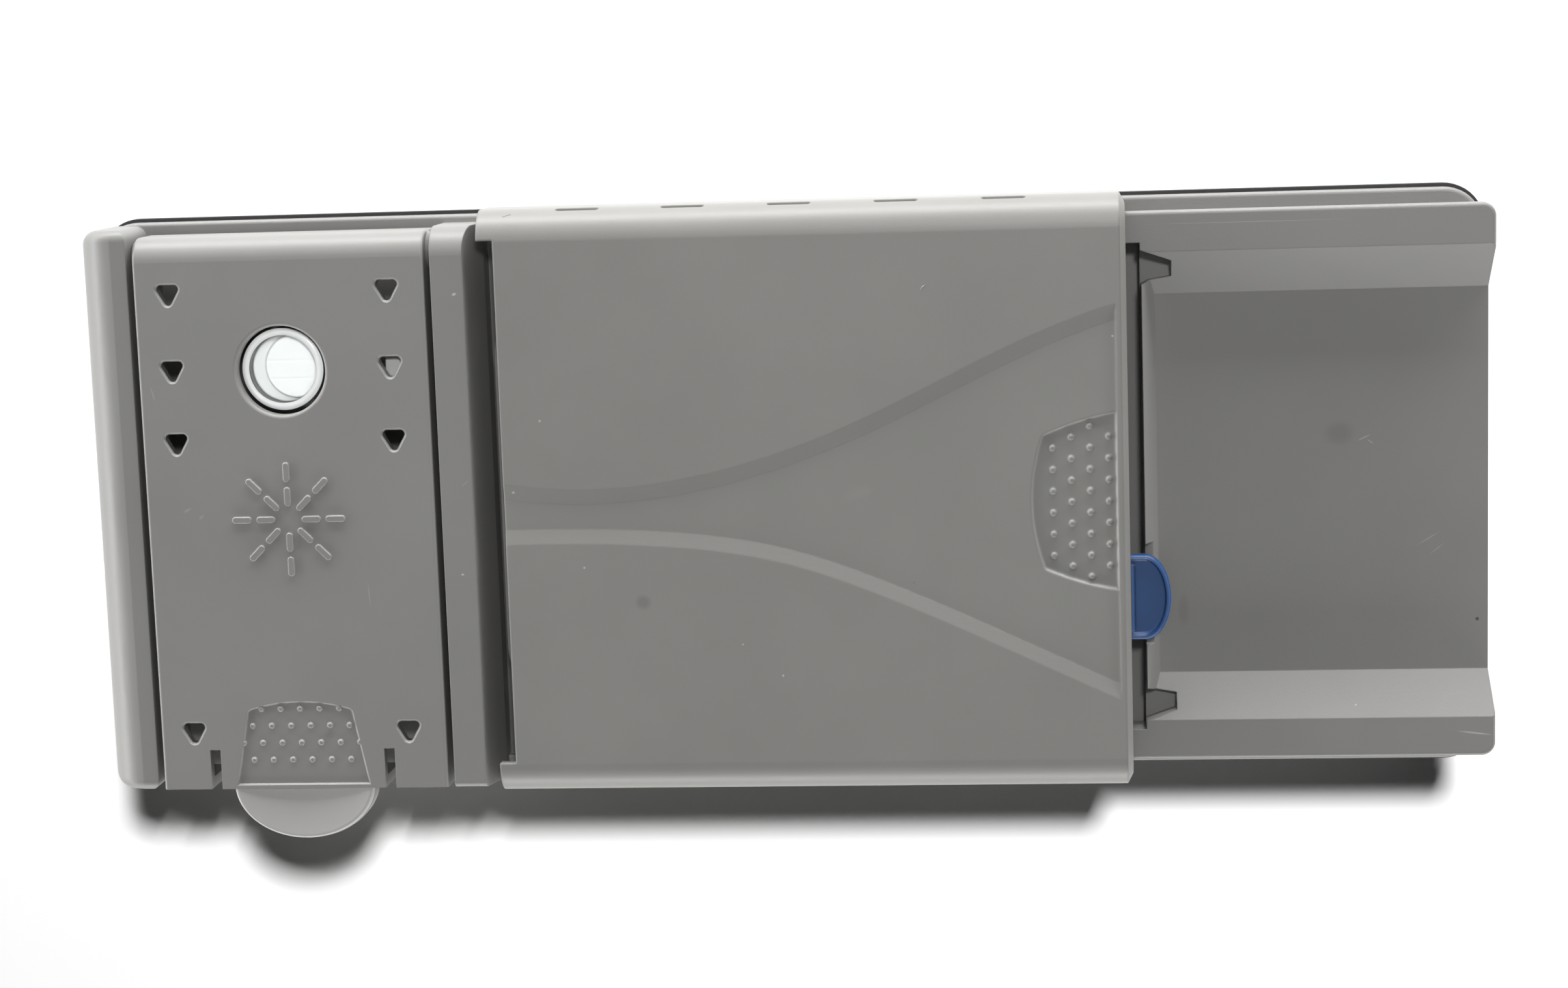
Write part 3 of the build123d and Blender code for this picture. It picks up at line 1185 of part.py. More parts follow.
with BuildPart() as lever_pin:
    with Locations(Plane(origin=(lever_x, lug_y_far + pin_gap, lever_z), z_dir=(0, 1, 0))):
        Cylinder(lever_pin_radius, near_lug_y + near_lug_thickness - lug_y_far - pin_gap,
                 align=(Align.CENTER, Align.CENTER, Align.MIN))
    chamfer(lever_pin.edges().filter_by(GeomType.CIRCLE), pin_chamfer)
lever_pin.part.label = "lever_pin"

# Trip lever: long hub, drive arm with pin, finger for the latch, fork for the armature
hub_far = lug_y_far + lug_thickness + seat_gap
hub_near = near_lug_y - seat_gap
drive_z = lever_z + lever_drive_reach
drive_side = pump_y + link_half_width + seat_gap
finger_left = latch_pivot_x + latch_tail_thickness / 2 + lever_finger_gap
finger_low_y = latch_y - lever_finger_half
finger_high_y = latch_y + lever_finger_half
with BuildPart() as trip_lever:
    with Locations(Plane(origin=(lever_x, hub_far, lever_z), z_dir=(0, 1, 0))):
        Cylinder(lever_hub_radius, hub_near - hub_far, align=(Align.CENTER, Align.CENTER, Align.MIN))
    block(lever_x - lever_arm_width / 2, lever_x + lever_arm_width / 2, drive_side,
          drive_side + lever_arm_thickness, lever_z, drive_z + lever_arm_width / 2)
    with Locations(Plane(origin=(lever_x, drive_side + joint_depth, drive_z), z_dir=(0, -1, 0))):
        Cylinder(lever_link_pin, joint_depth + 2 * link_half_width + seat_gap,
                 align=(Align.CENTER, Align.CENTER, Align.MIN))
    block(finger_left, finger_left + lever_finger_width, finger_low_y, finger_high_y, lever_finger_low,
          lever_finger_high)
    block(finger_left, lever_x, finger_low_y, finger_high_y, lever_z - lever_arm_width / 2,
          lever_z + lever_hub_radius - fork_gap)
    for side in (-1, 1):
        tine_y = latch_y + side * (armature_neck + fork_gap + fork_tine / 2)
        block(lever_x - fork_tine_width / 2, lever_x + fork_tine_width / 2, tine_y - fork_tine / 2,
              tine_y + fork_tine / 2, coil_z, lever_z)
        with Locations(Plane(origin=(lever_x, tine_y, coil_z), z_dir=(0, 1, 0))):
            Cylinder(fork_tip_radius, fork_tine)
    with Locations(Plane(origin=(lever_x, latch_y, lever_z), z_dir=(0, 1, 0))):
        Cylinder(lever_pin_radius + pin_gap, 4 * skirt_half_height, mode=Mode.SUBTRACT)
trip_lever.part.label = "trip_lever"

# Armature with its grooved end
head_left = armature_left - armature_groove - armature_head_thickness
shoulder_x = armature_left + fork_gap + armature_collar
with BuildPart() as armature:
    with Locations(Plane(origin=(armature_left, latch_y, coil_z), z_dir=(1, 0, 0))):
        Cylinder(armature_radius, armature_length, align=(Align.CENTER, Align.CENTER, Align.MIN))
    with Locations(Plane(origin=(armature_left - armature_groove, latch_y, coil_z), z_dir=(1, 0, 0))):
        Cylinder(armature_neck, armature_groove, align=(Align.CENTER, Align.CENTER, Align.MIN))
    with Locations(Plane(origin=(head_left, latch_y, coil_z), z_dir=(1, 0, 0))):
        Cylinder(armature_head, armature_head_thickness, align=(Align.CENTER, Align.CENTER, Align.MIN))
    with Locations(Plane(origin=(armature_left + fork_gap, latch_y, coil_z), z_dir=(1, 0, 0))):
        Cylinder(armature_collar_radius, armature_collar, align=(Align.CENTER, Align.CENTER, Align.MIN))
armature.part.label = "armature"

armature_spring = coil_spring(Plane(origin=(shoulder_x + seat_gap, latch_y, coil_z), z_dir=(1, 0, 0)),
                              armature_spring_radius, wire_radius, coil_left - shoulder_x - 2 * seat_gap,
                              armature_spring_turns)
armature_spring.label = "armature_spring"

# Coil: bobbin, winding, bent yoke with its closing plate, core and blades
with BuildPart() as coil_bobbin:
    with Locations(Plane(origin=(coil_left + yoke_thickness, latch_y, coil_z), z_dir=(1, 0, 0))):
        Cylinder(bobbin_bore + bobbin_tube, coil_length - 2 * yoke_thickness,
                 align=(Align.CENTER, Align.CENTER, Align.MIN))
        Cylinder(bobbin_flange_radius, bobbin_flange, align=(Align.CENTER, Align.CENTER, Align.MIN))
    with Locations(Plane(origin=(coil_right - yoke_thickness, latch_y, coil_z), z_dir=(-1, 0, 0))):
        Cylinder(bobbin_flange_radius, bobbin_flange, align=(Align.CENTER, Align.CENTER, Align.MIN))
    with Locations(Plane(origin=(coil_left, latch_y, coil_z), z_dir=(1, 0, 0))):
        Cylinder(bobbin_bore, coil_length, align=(Align.CENTER, Align.CENTER, Align.MIN), mode=Mode.SUBTRACT)
coil_bobbin.part.label = "coil_bobbin"

winding_left = coil_left + yoke_thickness + bobbin_flange
winding_length = coil_length - 2 * (yoke_thickness + bobbin_flange)
with BuildPart() as coil_winding:
    with Locations(Plane(origin=(winding_left, latch_y, coil_z), z_dir=(1, 0, 0))):
        Cylinder(winding_radius, winding_length, align=(Align.CENTER, Align.CENTER, Align.MIN))
        Cylinder(bobbin_bore + bobbin_tube, winding_length, align=(Align.CENTER, Align.CENTER, Align.MIN),
                 mode=Mode.SUBTRACT)
coil_winding.part.label = "coil_winding"

yoke_low = coil_z - yoke_half
yoke_high = coil_z + yoke_half
with BuildPart() as coil_yoke:
    block(coil_left, coil_left + yoke_thickness, latch_y - yoke_half, latch_y + yoke_half, yoke_low,
          yoke_high - yoke_thickness)
    block(coil_left, coil_right, latch_y - yoke_half, latch_y + yoke_half, yoke_low,
          yoke_low + yoke_thickness)
    block(coil_right - yoke_thickness, coil_right, latch_y - yoke_half, latch_y + yoke_half, yoke_low,
          yoke_high - yoke_thickness)
    bend_edges = coil_yoke.edges().filter_by(Axis.Y).filter_by(
        lambda edge: abs(edge.center().Z - yoke_low) < 0.01)
    fillet(bend_edges, yoke_thickness)
    with Locations(Plane(origin=(coil_left - overrun, latch_y, coil_z), z_dir=(1, 0, 0))):
        Cylinder(bobbin_bore, yoke_thickness + 2 * overrun, align=(Align.CENTER, Align.CENTER, Align.MIN),
                 mode=Mode.SUBTRACT)
coil_yoke.part.label = "coil_yoke"

with BuildPart() as yoke_plate:
    block(coil_left, coil_right, latch_y - yoke_half, latch_y + yoke_half, yoke_high - yoke_thickness,
          yoke_high)
yoke_plate.part.label = "yoke_plate"

core_left = armature_left + armature_length + armature_stroke + core_gap
with BuildPart() as coil_core:
    with Locations(Plane(origin=(core_left, latch_y, coil_z), z_dir=(1, 0, 0))):
        Cylinder(bobbin_bore - pin_gap, coil_right - yoke_thickness - core_left,
                 align=(Align.CENTER, Align.CENTER, Align.MIN))
    chamfer(coil_core.edges().group_by(Axis.X)[0], core_chamfer)
coil_core.part.label = "coil_core"

with BuildPart() as coil_blades:
    for side in (-1, 1):
        blade_y = latch_y + side * blade_spacing / 2
        block(coil_right, coil_right + blade_reach, blade_y - blade_width / 2, blade_y + blade_width / 2,
              coil_z - blade_thickness / 2, coil_z + blade_thickness / 2)
    blade_tips = coil_blades.edges().filter_by(Axis.Z).group_by(Axis.X)[-1]
    chamfer(blade_tips, blade_chamfer)
coil_blades.part.label = "coil_blades"

# Three screws that hold the housing to the base
with BuildPart() as housing_screws:
    for x, y in screw_places:
        upright(x, y, screw_seat_z - screw_head_height, screw_seat_z, screw_head_radius)
        upright(x, y, screw_seat_z, screw_tip_z, screw_radius)
        slot_half_width = screw_slot_width / 2
        for half_x, half_y in ((screw_slot_half, slot_half_width), (slot_half_width, screw_slot_half)):
            block(x - half_x, x + half_x, y - half_y, y + half_y, screw_seat_z - screw_head_height,
                  screw_seat_z - screw_head_height + screw_slot_depth, mode=Mode.SUBTRACT)
housing_screws.part.label = "housing_screws"

# Four sheet-metal clips that grip the edge of the door opening
with BuildPart() as door_clips:
    for clip_x, side in clip_places:
        with BuildSketch(along_x(clip_x - clip_width / 2, 0, 0)):
            with BuildLine():
                Polyline((side * skirt_half_height, skirt_bottom), (side * skirt_half_height, clip_top),
                         (side * (skirt_half_height + clip_sheet), clip_top),
                         (side * (skirt_half_height + clip_sheet), skirt_bottom + 2 * clip_sheet),
                         (side * (skirt_half_height + clip_barb - clip_sheet / 2), clip_barb_z),
                         (side * (skirt_half_height + clip_barb), clip_barb_z - clip_sheet / 2),
                         (side * (skirt_half_height + clip_sheet), skirt_bottom), close=True)
            make_face()
        extrude(amount=clip_width)
door_clips.part.label = "door_clips"

pieces = [
    base_frame.part, flange_gasket.part, cup_seal.part, sliding_cover.part, rinse_flap.part, flap_seal.part,
    level_lens.part, lens_seal.part, dosing_dial.part, filler_strainer.part, rinse_tank.part,
    dosing_piston.part, piston_seal.part, piston_spring, link_bar.part, latch.part, latch_pin.part,
    latch_spring, cover_spring.part, actuator_housing.part, lever_pin.part, trip_lever.part, armature.part,
    armature_spring, coil_bobbin.part, coil_winding.part, coil_yoke.part, yoke_plate.part, coil_core.part,
    coil_blades.part, housing_screws.part, door_clips.part,
]
for piece in pieces:
    export_step(piece, f"parts/{piece.label}.step")
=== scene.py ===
"""Looks of a dishwasher detergent dispenser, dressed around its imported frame.

The frame's own pieces stay where they are and get finished materials.  Pieces that
only matter to the eye, such as the inside of the sight lens, moulding flash and the
numbers round the dial, are worked out here as surfaces and ride on the frame's bodies.
Lengths are metres, and values whose name ends in mm are millimetres.
"""

import logging
import math
from dataclasses import dataclass
from enum import Enum

import bmesh
import bpy
import numpy as np
from mathutils import Matrix, Vector


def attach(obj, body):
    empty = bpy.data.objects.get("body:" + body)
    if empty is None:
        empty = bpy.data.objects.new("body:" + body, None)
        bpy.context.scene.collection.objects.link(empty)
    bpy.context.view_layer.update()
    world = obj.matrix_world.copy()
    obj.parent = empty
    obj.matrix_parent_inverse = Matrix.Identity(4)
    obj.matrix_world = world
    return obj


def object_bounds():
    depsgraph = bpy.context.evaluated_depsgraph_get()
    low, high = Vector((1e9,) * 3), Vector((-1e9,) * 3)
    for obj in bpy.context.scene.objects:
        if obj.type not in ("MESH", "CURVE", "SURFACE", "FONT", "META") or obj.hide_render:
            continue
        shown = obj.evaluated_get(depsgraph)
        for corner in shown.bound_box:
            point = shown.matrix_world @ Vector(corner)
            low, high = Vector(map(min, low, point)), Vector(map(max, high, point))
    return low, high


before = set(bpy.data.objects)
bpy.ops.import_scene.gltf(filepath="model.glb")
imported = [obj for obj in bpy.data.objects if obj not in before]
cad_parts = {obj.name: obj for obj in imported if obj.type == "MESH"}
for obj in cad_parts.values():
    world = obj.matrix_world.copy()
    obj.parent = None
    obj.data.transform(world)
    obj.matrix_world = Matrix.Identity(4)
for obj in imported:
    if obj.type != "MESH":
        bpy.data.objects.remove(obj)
cad_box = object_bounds()

MM = 0.001
TURN = 2 * math.pi
# Noise stays mostly between these two values, so a pattern is stretched over them
NOISE = {"From Min": 0.3, "From Max": 0.7}
LOG = logging.getLogger("dispenser")


def linear(hex_colour: str) -> tuple[float, float, float, float]:
    """Turn an sRGB hex colour into linear values.

    Args:
        hex_colour: six hex digits, such as "8b8a87".

    Returns:
        Linear red, green, blue and an alpha of 1.
    """
    channels = [int(hex_colour[i:i + 2], 16) / 255 for i in (0, 2, 4)]
    return (*(c / 12.92 if c <= 0.04045 else ((c + 0.055) / 1.055) ** 2.4 for c in channels), 1.0)


def add_node(tree: bpy.types.NodeTree, kind: str, inputs: dict | None = None, **settings) -> bpy.types.Node:
    """Add a shader node, set its options, and set or link its sockets.

    Args:
        tree: the node tree that it goes into.
        kind: the node's type name.
        inputs: socket name or index to a value, or to an output socket to link.
        **settings: options of the node itself.

    Returns:
        The new node.
    """
    node = tree.nodes.new(kind)
    for name, value in settings.items():
        setattr(node, name, value)
    for key, value in (inputs or {}).items():
        if isinstance(value, bpy.types.NodeSocket):
            tree.links.new(value, node.inputs[key])
        else:
            node.inputs[key].default_value = value
    return node


@dataclass(frozen=True)
class Mark:
    """A stain, scratch or spot on a surface, by its place and size in millimetres."""

    place: tuple[float, float, float]
    radii: tuple[float, float, float]
    colour: str
    strength: float
    turn_deg: float = 0.0
    FULL_TO = 0.25

    def paint(self, tree: bpy.types.NodeTree, coords: bpy.types.NodeSocket,
              colour: bpy.types.NodeSocket) -> bpy.types.NodeSocket:
        """Blend the mark over a colour, full in its middle and gone at its radii.

        The share is 1 minus the distance from the middle, measured in radii, eased at both ends.

        Args:
            tree: the material's node tree.
            coords: the object coordinates.
            colour: the colour under the mark.

        Returns:
            The blended colour.
        """
        within = add_node(tree, "ShaderNodeMapping",
                          {"Vector": coords, "Location": [v * MM for v in self.place],
                           "Rotation": (0, 0, math.radians(self.turn_deg)),
                           "Scale": [r * MM for r in self.radii]}, vector_type="TEXTURE")
        far = add_node(tree, "ShaderNodeVectorMath", {0: within.outputs[0]}, operation="LENGTH")
        share = add_node(tree, "ShaderNodeMapRange",
                         {"Value": far.outputs["Value"], "From Min": self.FULL_TO, "From Max": 1.0,
                          "To Min": self.strength, "To Max": 0.0}, interpolation_type="SMOOTHSTEP")
        mix = add_node(tree, "ShaderNodeMix", {0: share.outputs[0], 6: colour, 7: linear(self.colour)},
                       data_type="RGBA")
        return mix.outputs[2]


class Texture(Enum):
    """How a mould's surface was worked, which sets the grain that it leaves."""

    SPARK_ERODED = (0.34, 0.017)
    FINE_ERODED = (0.26, 0.011)
    POLISHED = (1.60, 0.004)
    FOAMED = (0.60, 0.060)

    @property
    def grain_mm(self) -> float:
        """Width of one grain, drawn about twice its real width so that it shows."""
        return self.value[0]

    @property
    def depth_mm(self) -> float:
        """Height of the grain."""
        return self.value[1]


@dataclass(frozen=True)
class Polymer:
    """A moulded plastic or rubber, with the grain of its mould and slight clouding."""

    name: str
    colour: str
    texture: Texture
    roughness: float
    cloud: float = 0.03
    edge_mm: float = 0.25
    specks: float = 0.0
    subsurface: float = 0.0
    ior: float = 1.49
    marks: tuple[Mark, ...] = ()
    CLOUD_MM = 22
    SHEEN_SWING = 0.04
    BUMP_STRENGTH = 0.8
    SCATTER_MM = 1.5
    DUST_CELL_MM = 3.2
    DUST_CELLS = {"From Min": 0.045, "From Max": 0.07}
    DUST_STRENGTH = 0.45
    DUST_COLOUR = "e8e6e0"

    def material(self) -> bpy.types.Material:
        """Build the material.

        The colour is the base colour, clouded by broad noise and dotted by rare pale specks of dust.
        The grain is fine noise as bump, over normals that are rounded at each edge.

        Returns:
            The finished material.
        """
        material, tree, shader = new_material(self.name)
        coords = add_node(tree, "ShaderNodeTexCoord").outputs["Object"]
        broad = add_node(tree, "ShaderNodeTexNoise", {"Vector": coords, "Scale": 1 / (self.CLOUD_MM * MM),
                                                      "Detail": 4.0, "Roughness": 0.55})
        cloud = add_node(tree, "ShaderNodeMapRange", {"Value": broad.outputs[0], **NOISE,
                                                      "To Min": 1 - self.cloud, "To Max": 1 + self.cloud})
        base = add_node(tree, "ShaderNodeVectorMath",
                        {0: linear(self.colour)[:3], "Scale": cloud.outputs[0]}, operation="SCALE")
        colour = base.outputs[0]
        if self.specks:
            colour = self.dust(tree, coords, colour)
        for mark in self.marks:
            colour = mark.paint(tree, coords, colour)
        grain = add_node(tree, "ShaderNodeTexNoise",
                         {"Vector": coords, "Scale": 1 / (self.texture.grain_mm * MM), "Detail": 3.0,
                          "Roughness": 0.6})
        sheen = add_node(tree, "ShaderNodeMapRange", {"Value": broad.outputs[0], **NOISE,
                                                      "To Min": self.roughness - self.SHEEN_SWING,
                                                      "To Max": self.roughness + self.SHEEN_SWING})
        rounded = add_node(tree, "ShaderNodeBevel", {"Radius": self.edge_mm * MM}, samples=6)
        bump = add_node(tree, "ShaderNodeBump", {"Height": grain.outputs[0], "Normal": rounded.outputs[0],
                                                 "Strength": self.BUMP_STRENGTH,
                                                 "Distance": self.texture.depth_mm * MM})
        tree.links.new(colour, shader.inputs["Base Color"])
        tree.links.new(sheen.outputs[0], shader.inputs["Roughness"])
        tree.links.new(bump.outputs[0], shader.inputs["Normal"])
        shader.inputs["IOR"].default_value = self.ior
        if self.subsurface:
            shader.inputs["Subsurface Weight"].default_value = self.subsurface
            shader.inputs["Subsurface Radius"].default_value = (1.0, 0.95, 0.85)
            shader.inputs["Subsurface Scale"].default_value = self.SCATTER_MM * MM
        return material

    def dust(self, tree: bpy.types.NodeTree, coords: bpy.types.NodeSocket,
             colour: bpy.types.NodeSocket) -> bpy.types.NodeSocket:
        """Dot a colour with pale specks, one near the middle of a few cells in a hundred.

        Args:
            tree: the material's node tree.
            coords: the object coordinates.
            colour: the colour under the specks.

        Returns:
            The dotted colour.
        """
        cells = add_node(tree, "ShaderNodeTexVoronoi",
                         {"Vector": coords, "Scale": 1 / (self.DUST_CELL_MM * MM)})
        near = add_node(tree, "ShaderNodeMapRange", {"Value": cells.outputs["Distance"], **self.DUST_CELLS,
                                                     "To Min": 1.0, "To Max": 0.0})
        pick = add_node(tree, "ShaderNodeSeparateColor", {0: cells.outputs["Color"]})
        rare = add_node(tree, "ShaderNodeMath", {0: pick.outputs[0], 1: 1 - self.specks},
                        operation="GREATER_THAN")
        share = add_node(tree, "ShaderNodeMath", {0: near.outputs[0], 1: rare.outputs[0]},
                         operation="MULTIPLY")
        faint = add_node(tree, "ShaderNodeMath", {0: share.outputs[0], 1: self.DUST_STRENGTH},
                         operation="MULTIPLY")
        mix = add_node(tree, "ShaderNodeMix",
                       {0: faint.outputs[0], 6: colour, 7: linear(self.DUST_COLOUR)}, data_type="RGBA")
        return mix.outputs[2]


@dataclass(frozen=True)
class ClearPlastic:
    """A clear moulded plastic such as polymethyl methacrylate, with a faint tint and some haze."""

    name: str
    tint: str
    roughness: float
    clear: float = 1.0
    FLOW_MM = 3
    FLOW_DEPTH_MM = 0.02

    def material(self) -> bpy.types.Material:
        """Build the material: a polished surface that lets most light through and scatters the rest.

        Lamps shine through it, as they do through a thin clear wall.

        Returns:
            The finished material.
        """
        material, tree, shader = new_material(self.name)
        coords = add_node(tree, "ShaderNodeTexCoord").outputs["Object"]
        flow = add_node(tree, "ShaderNodeTexNoise",
                        {"Vector": coords, "Scale": 1 / (self.FLOW_MM * MM), "Detail": 2.0})
        bump = add_node(tree, "ShaderNodeBump", {"Height": flow.outputs[0], "Strength": 0.3,
                                                 "Distance": self.FLOW_DEPTH_MM * MM})
        tree.links.new(bump.outputs[0], shader.inputs["Normal"])
        shader.inputs["Base Color"].default_value = linear(self.tint)
        shader.inputs["Roughness"].default_value = self.roughness
        shader.inputs["IOR"].default_value = 1.49
        shader.inputs["Transmission Weight"].default_value = self.clear
        path = add_node(tree, "ShaderNodeLightPath")
        open_way = add_node(tree, "ShaderNodeBsdfTransparent", {"Color": linear(self.tint)})
        mixed = add_node(tree, "ShaderNodeMixShader",
                         {0: path.outputs["Is Shadow Ray"], 1: shader.outputs[0], 2: open_way.outputs[0]})
        tree.links.new(mixed.outputs[0], tree.nodes["Material Output"].inputs["Surface"])
        return material


@dataclass(frozen=True)
class Metal:
    """A drawn, stamped or plated metal with fine tool lines along one axis."""

    name: str
    colour: str
    roughness: float
    line_mm: float = 0.15
    along: int = 0
    STRETCH = 40
    GLOSS_SWING = 0.08
    EDGE_MM = 0.12
    LINE_DEPTH_MM = 0.01

    def material(self) -> bpy.types.Material:
        """Build the material.

        The lines are noise stretched fortyfold along one axis, which varies gloss and height.

        Returns:
            The finished material.
        """
        material, tree, shader = new_material(self.name)
        coords = add_node(tree, "ShaderNodeTexCoord").outputs["Object"]
        stretch = [1 / (self.line_mm * MM)] * 3
        stretch[self.along] /= self.STRETCH
        scaled = add_node(tree, "ShaderNodeMapping", {"Vector": coords, "Scale": stretch})
        lines = add_node(tree, "ShaderNodeTexNoise",
                         {"Vector": scaled.outputs[0], "Scale": 1.0, "Detail": 2.0})
        gloss = add_node(tree, "ShaderNodeMapRange", {"Value": lines.outputs[0], **NOISE,
                                                      "To Min": self.roughness - self.GLOSS_SWING,
                                                      "To Max": self.roughness + self.GLOSS_SWING})
        rounded = add_node(tree, "ShaderNodeBevel", {"Radius": self.EDGE_MM * MM}, samples=6)
        bump = add_node(tree, "ShaderNodeBump", {"Height": lines.outputs[0], "Normal": rounded.outputs[0],
                                                 "Strength": 0.5, "Distance": self.LINE_DEPTH_MM * MM})
        tree.links.new(gloss.outputs[0], shader.inputs["Roughness"])
        tree.links.new(bump.outputs[0], shader.inputs["Normal"])
        shader.inputs["Base Color"].default_value = linear(self.colour)
        shader.inputs["Metallic"].default_value = 1.0
        return material


@dataclass(frozen=True)
class TapedCoil:
    """Polyester tape wound round a coil: overlapping turns with a soft sheen."""

    name: str
    colour: str
    turn_mm: float
    EDGE_STEP_MM = 0.08

    def material(self) -> bpy.types.Material:
        """Build the material.

        Each turn of tape is one period of a saw wave along X, which gives its raised edge.

        Returns:
            The finished material.
        """
        material, tree, shader = new_material(self.name)
        coords = add_node(tree, "ShaderNodeTexCoord").outputs["Object"]
        # The wave node fits one band into pi / 10 of a unit
        turns = add_node(tree, "ShaderNodeTexWave",
                         {"Vector": coords, "Scale": math.pi / 10 / (self.turn_mm * MM), "Distortion": 0.4,
                          "Detail": 1.0}, wave_type="BANDS", bands_direction="X", wave_profile="SAW")
        bump = add_node(tree, "ShaderNodeBump", {"Height": turns.outputs["Fac"], "Strength": 0.7,
                                                 "Distance": self.EDGE_STEP_MM * MM})
        shade = add_node(tree, "ShaderNodeMapRange",
                         {"Value": turns.outputs["Fac"], "To Min": 0.85, "To Max": 1.1})
        colour = add_node(tree, "ShaderNodeVectorMath",
                          {0: linear(self.colour)[:3], "Scale": shade.outputs[0]}, operation="SCALE")
        tree.links.new(colour.outputs[0], shader.inputs["Base Color"])
        tree.links.new(bump.outputs[0], shader.inputs["Normal"])
        shader.inputs["Roughness"].default_value = 0.38
        shader.inputs["IOR"].default_value = 1.57
        return material


def new_material(name: str) -> tuple[bpy.types.Material, bpy.types.NodeTree, bpy.types.Node]:
    """Start a material.

    Args:
        name: the material's name.

    Returns:
        The material, its node tree, and its Principled shader.
    """
    material = bpy.data.materials.new(name)
    material.use_nodes = True
    tree = material.node_tree
    return material, tree, tree.nodes["Principled BSDF"]


class Finishes:
    """Every finish of the dispenser, named for what the real surface is."""

    # Mineral-filled polypropylene from a spark-eroded mould: matt mid-grey, soft sheen at low angles.
    # The tray shows faint wear: soft dark spots, pale scratches and a brown stain beside the latch.
    body = Polymer("filled_polypropylene_body", "8a8987", Texture.SPARK_ERODED, 0.46, specks=0.03, marks=(
        Mark((90.6, 7.9, 7.7), (3.2, 2.6, 1.5), "5c5a58", 0.28),
        Mark((94.6, 7.1, 7.7), (1.5, 0.16, 0.6), "c2c0bb", 0.5, 24),
        Mark((95.6, 6.4, 7.7), (0.9, 0.14, 0.6), "c2c0bb", 0.45, -38),
        Mark((104.8, -9.6, 7.7), (2.6, 0.13, 0.6), "b8b6b1", 0.5, 31),
        Mark((106.2, -11.3, 7.7), (2.0, 0.11, 0.6), "b8b6b1", 0.45, 38),
        Mark((112.6, -23.0, 7.7), (0.42, 0.42, 0.6), "1d1c1b", 0.9),
        Mark((99.6, -32.0, 9.5), (0.2, 1.1, 1.2), "c8c6c1", 0.5, 12),
        Mark((65.3, -20.9, 7.7), (1.3, 3.6, 2.0), "6b5a47", 0.22),
        Mark((76.0, 42.7, 12.0), (19.0, 0.10, 0.4), "b6b4b0", 0.45),
        Mark((111.7, -41.0, 12.0), (3.4, 0.22, 0.5), "d0ceca", 0.55, -7),
        Mark((-51.6, 34.7, 17.0), (0.5, 0.3, 0.6), "dcdad6", 0.7, 20),
        Mark((-52.4, -11.4, 17.0), (0.35, 0.25, 0.6), "dcdad6", 0.6),
        Mark((-51.3, 3.7, 17.0), (1.1, 0.1, 0.6), "b4b2ae", 0.5, 40),
        Mark((-112.7, 4.0, 10.0), (0.4, 0.5, 1.5), "e2e0dc", 0.6),
        Mark((114.6, 4.6, 11.0), (0.7, 0.5, 2.0), "4a4947", 0.5)))
    # The cover carries a faint round stain, a long smudge and one dark fleck
    cover = Polymer("filled_polypropylene_cover", "8c8b88", Texture.SPARK_ERODED, 0.44, edge_mm=0.5,
                    specks=0.03, marks=(
        Mark((-22.6, -16.4, 17.5), (1.7, 1.6, 0.8), "62605e", 0.42),
        Mark((13.3, 1.0, 17.5), (4.2, 1.6, 0.8), "a5a39f", 0.22, 18),
        Mark((21.7, -13.9, 17.5), (0.35, 0.3, 0.6), "3a3937", 0.7),
        Mark((-43.3, 2.1, 17.5), (0.4, 0.3, 0.6), "dcdad6", 0.7)))
    # The flap is scuffed beside its left edge, and old rinse aid has dried round its grip dots
    flap = Polymer("filled_polypropylene_flap", "8d8c8a", Texture.FINE_ERODED, 0.44, edge_mm=0.15,
                   specks=0.02, marks=(
        Mark((-102.6, 19.5, 17.0), (0.14, 1.6, 0.6), "b4b2ae", 0.5, 14),
        Mark((-98.0, 0.1, 17.0), (1.0, 0.35, 0.6), "a8a6a2", 0.5, 28),
        Mark((-95.7, -1.1, 17.0), (0.7, 0.3, 0.6), "a8a6a2", 0.5, 40),
        Mark((-68.2, -14.6, 17.0), (0.12, 2.8, 0.6), "b0aeaa", 0.5, 3),
        Mark((-76.3, -38.2, 17.0), (1.6, 1.0, 0.8), "5f5c58", 0.3, 20)))
    # The same polypropylene where fingers pull, a little smoother; its paler colour is a painted highlight for
    # the light that the tab catches
    tab = Polymer("painted_light_polypropylene_tab", "b8b7b5", Texture.FINE_ERODED, 0.38, cloud=0.04)
    # Foamed EPDM, black with a dull skin full of fine pores
    gasket = Polymer("foamed_epdm_gasket", "1c1c1d", Texture.FOAMED, 0.62, cloud=0.1)
    # Moulded nitrile rubber, smoother and a little grey from wear
    seal = Polymer("moulded_nitrile_seal", "2e2e30", Texture.POLISHED, 0.5, cloud=0.06)
    # Injection-moulded acrylic, clear with clean edges and a trace of haze from rinse aid
    lens = ClearPlastic("clear_acrylic_lens", "fcfefe", 0.03, clear=0.94)
    # Acetal from a polished mould, dense and slightly glossy
    dial = Polymer("acetal_dial", "d9d8d2", Texture.POLISHED, 0.32, cloud=0.015)
    white = Polymer("acetal_white", "e4e3dd", Texture.POLISHED, 0.34, cloud=0.015)
    # The same acetal in a strong blue, with well rounded edges that catch the light
    latch = Polymer("acetal_latch_blue", "1f4a80", Texture.FINE_ERODED, 0.3, cloud=0.03, edge_mm=0.4)
    # Unfilled polypropylene, milky and a little translucent
    tank = Polymer("natural_polypropylene_tank", "cbcbc5", Texture.POLISHED, 0.36, cloud=0.02,
                   subsurface=0.35)
    # Darker filled polypropylene of the tub, matt like the body
    housing = Polymer("filled_polypropylene_housing", "6d6d6c", Texture.SPARK_ERODED, 0.48)
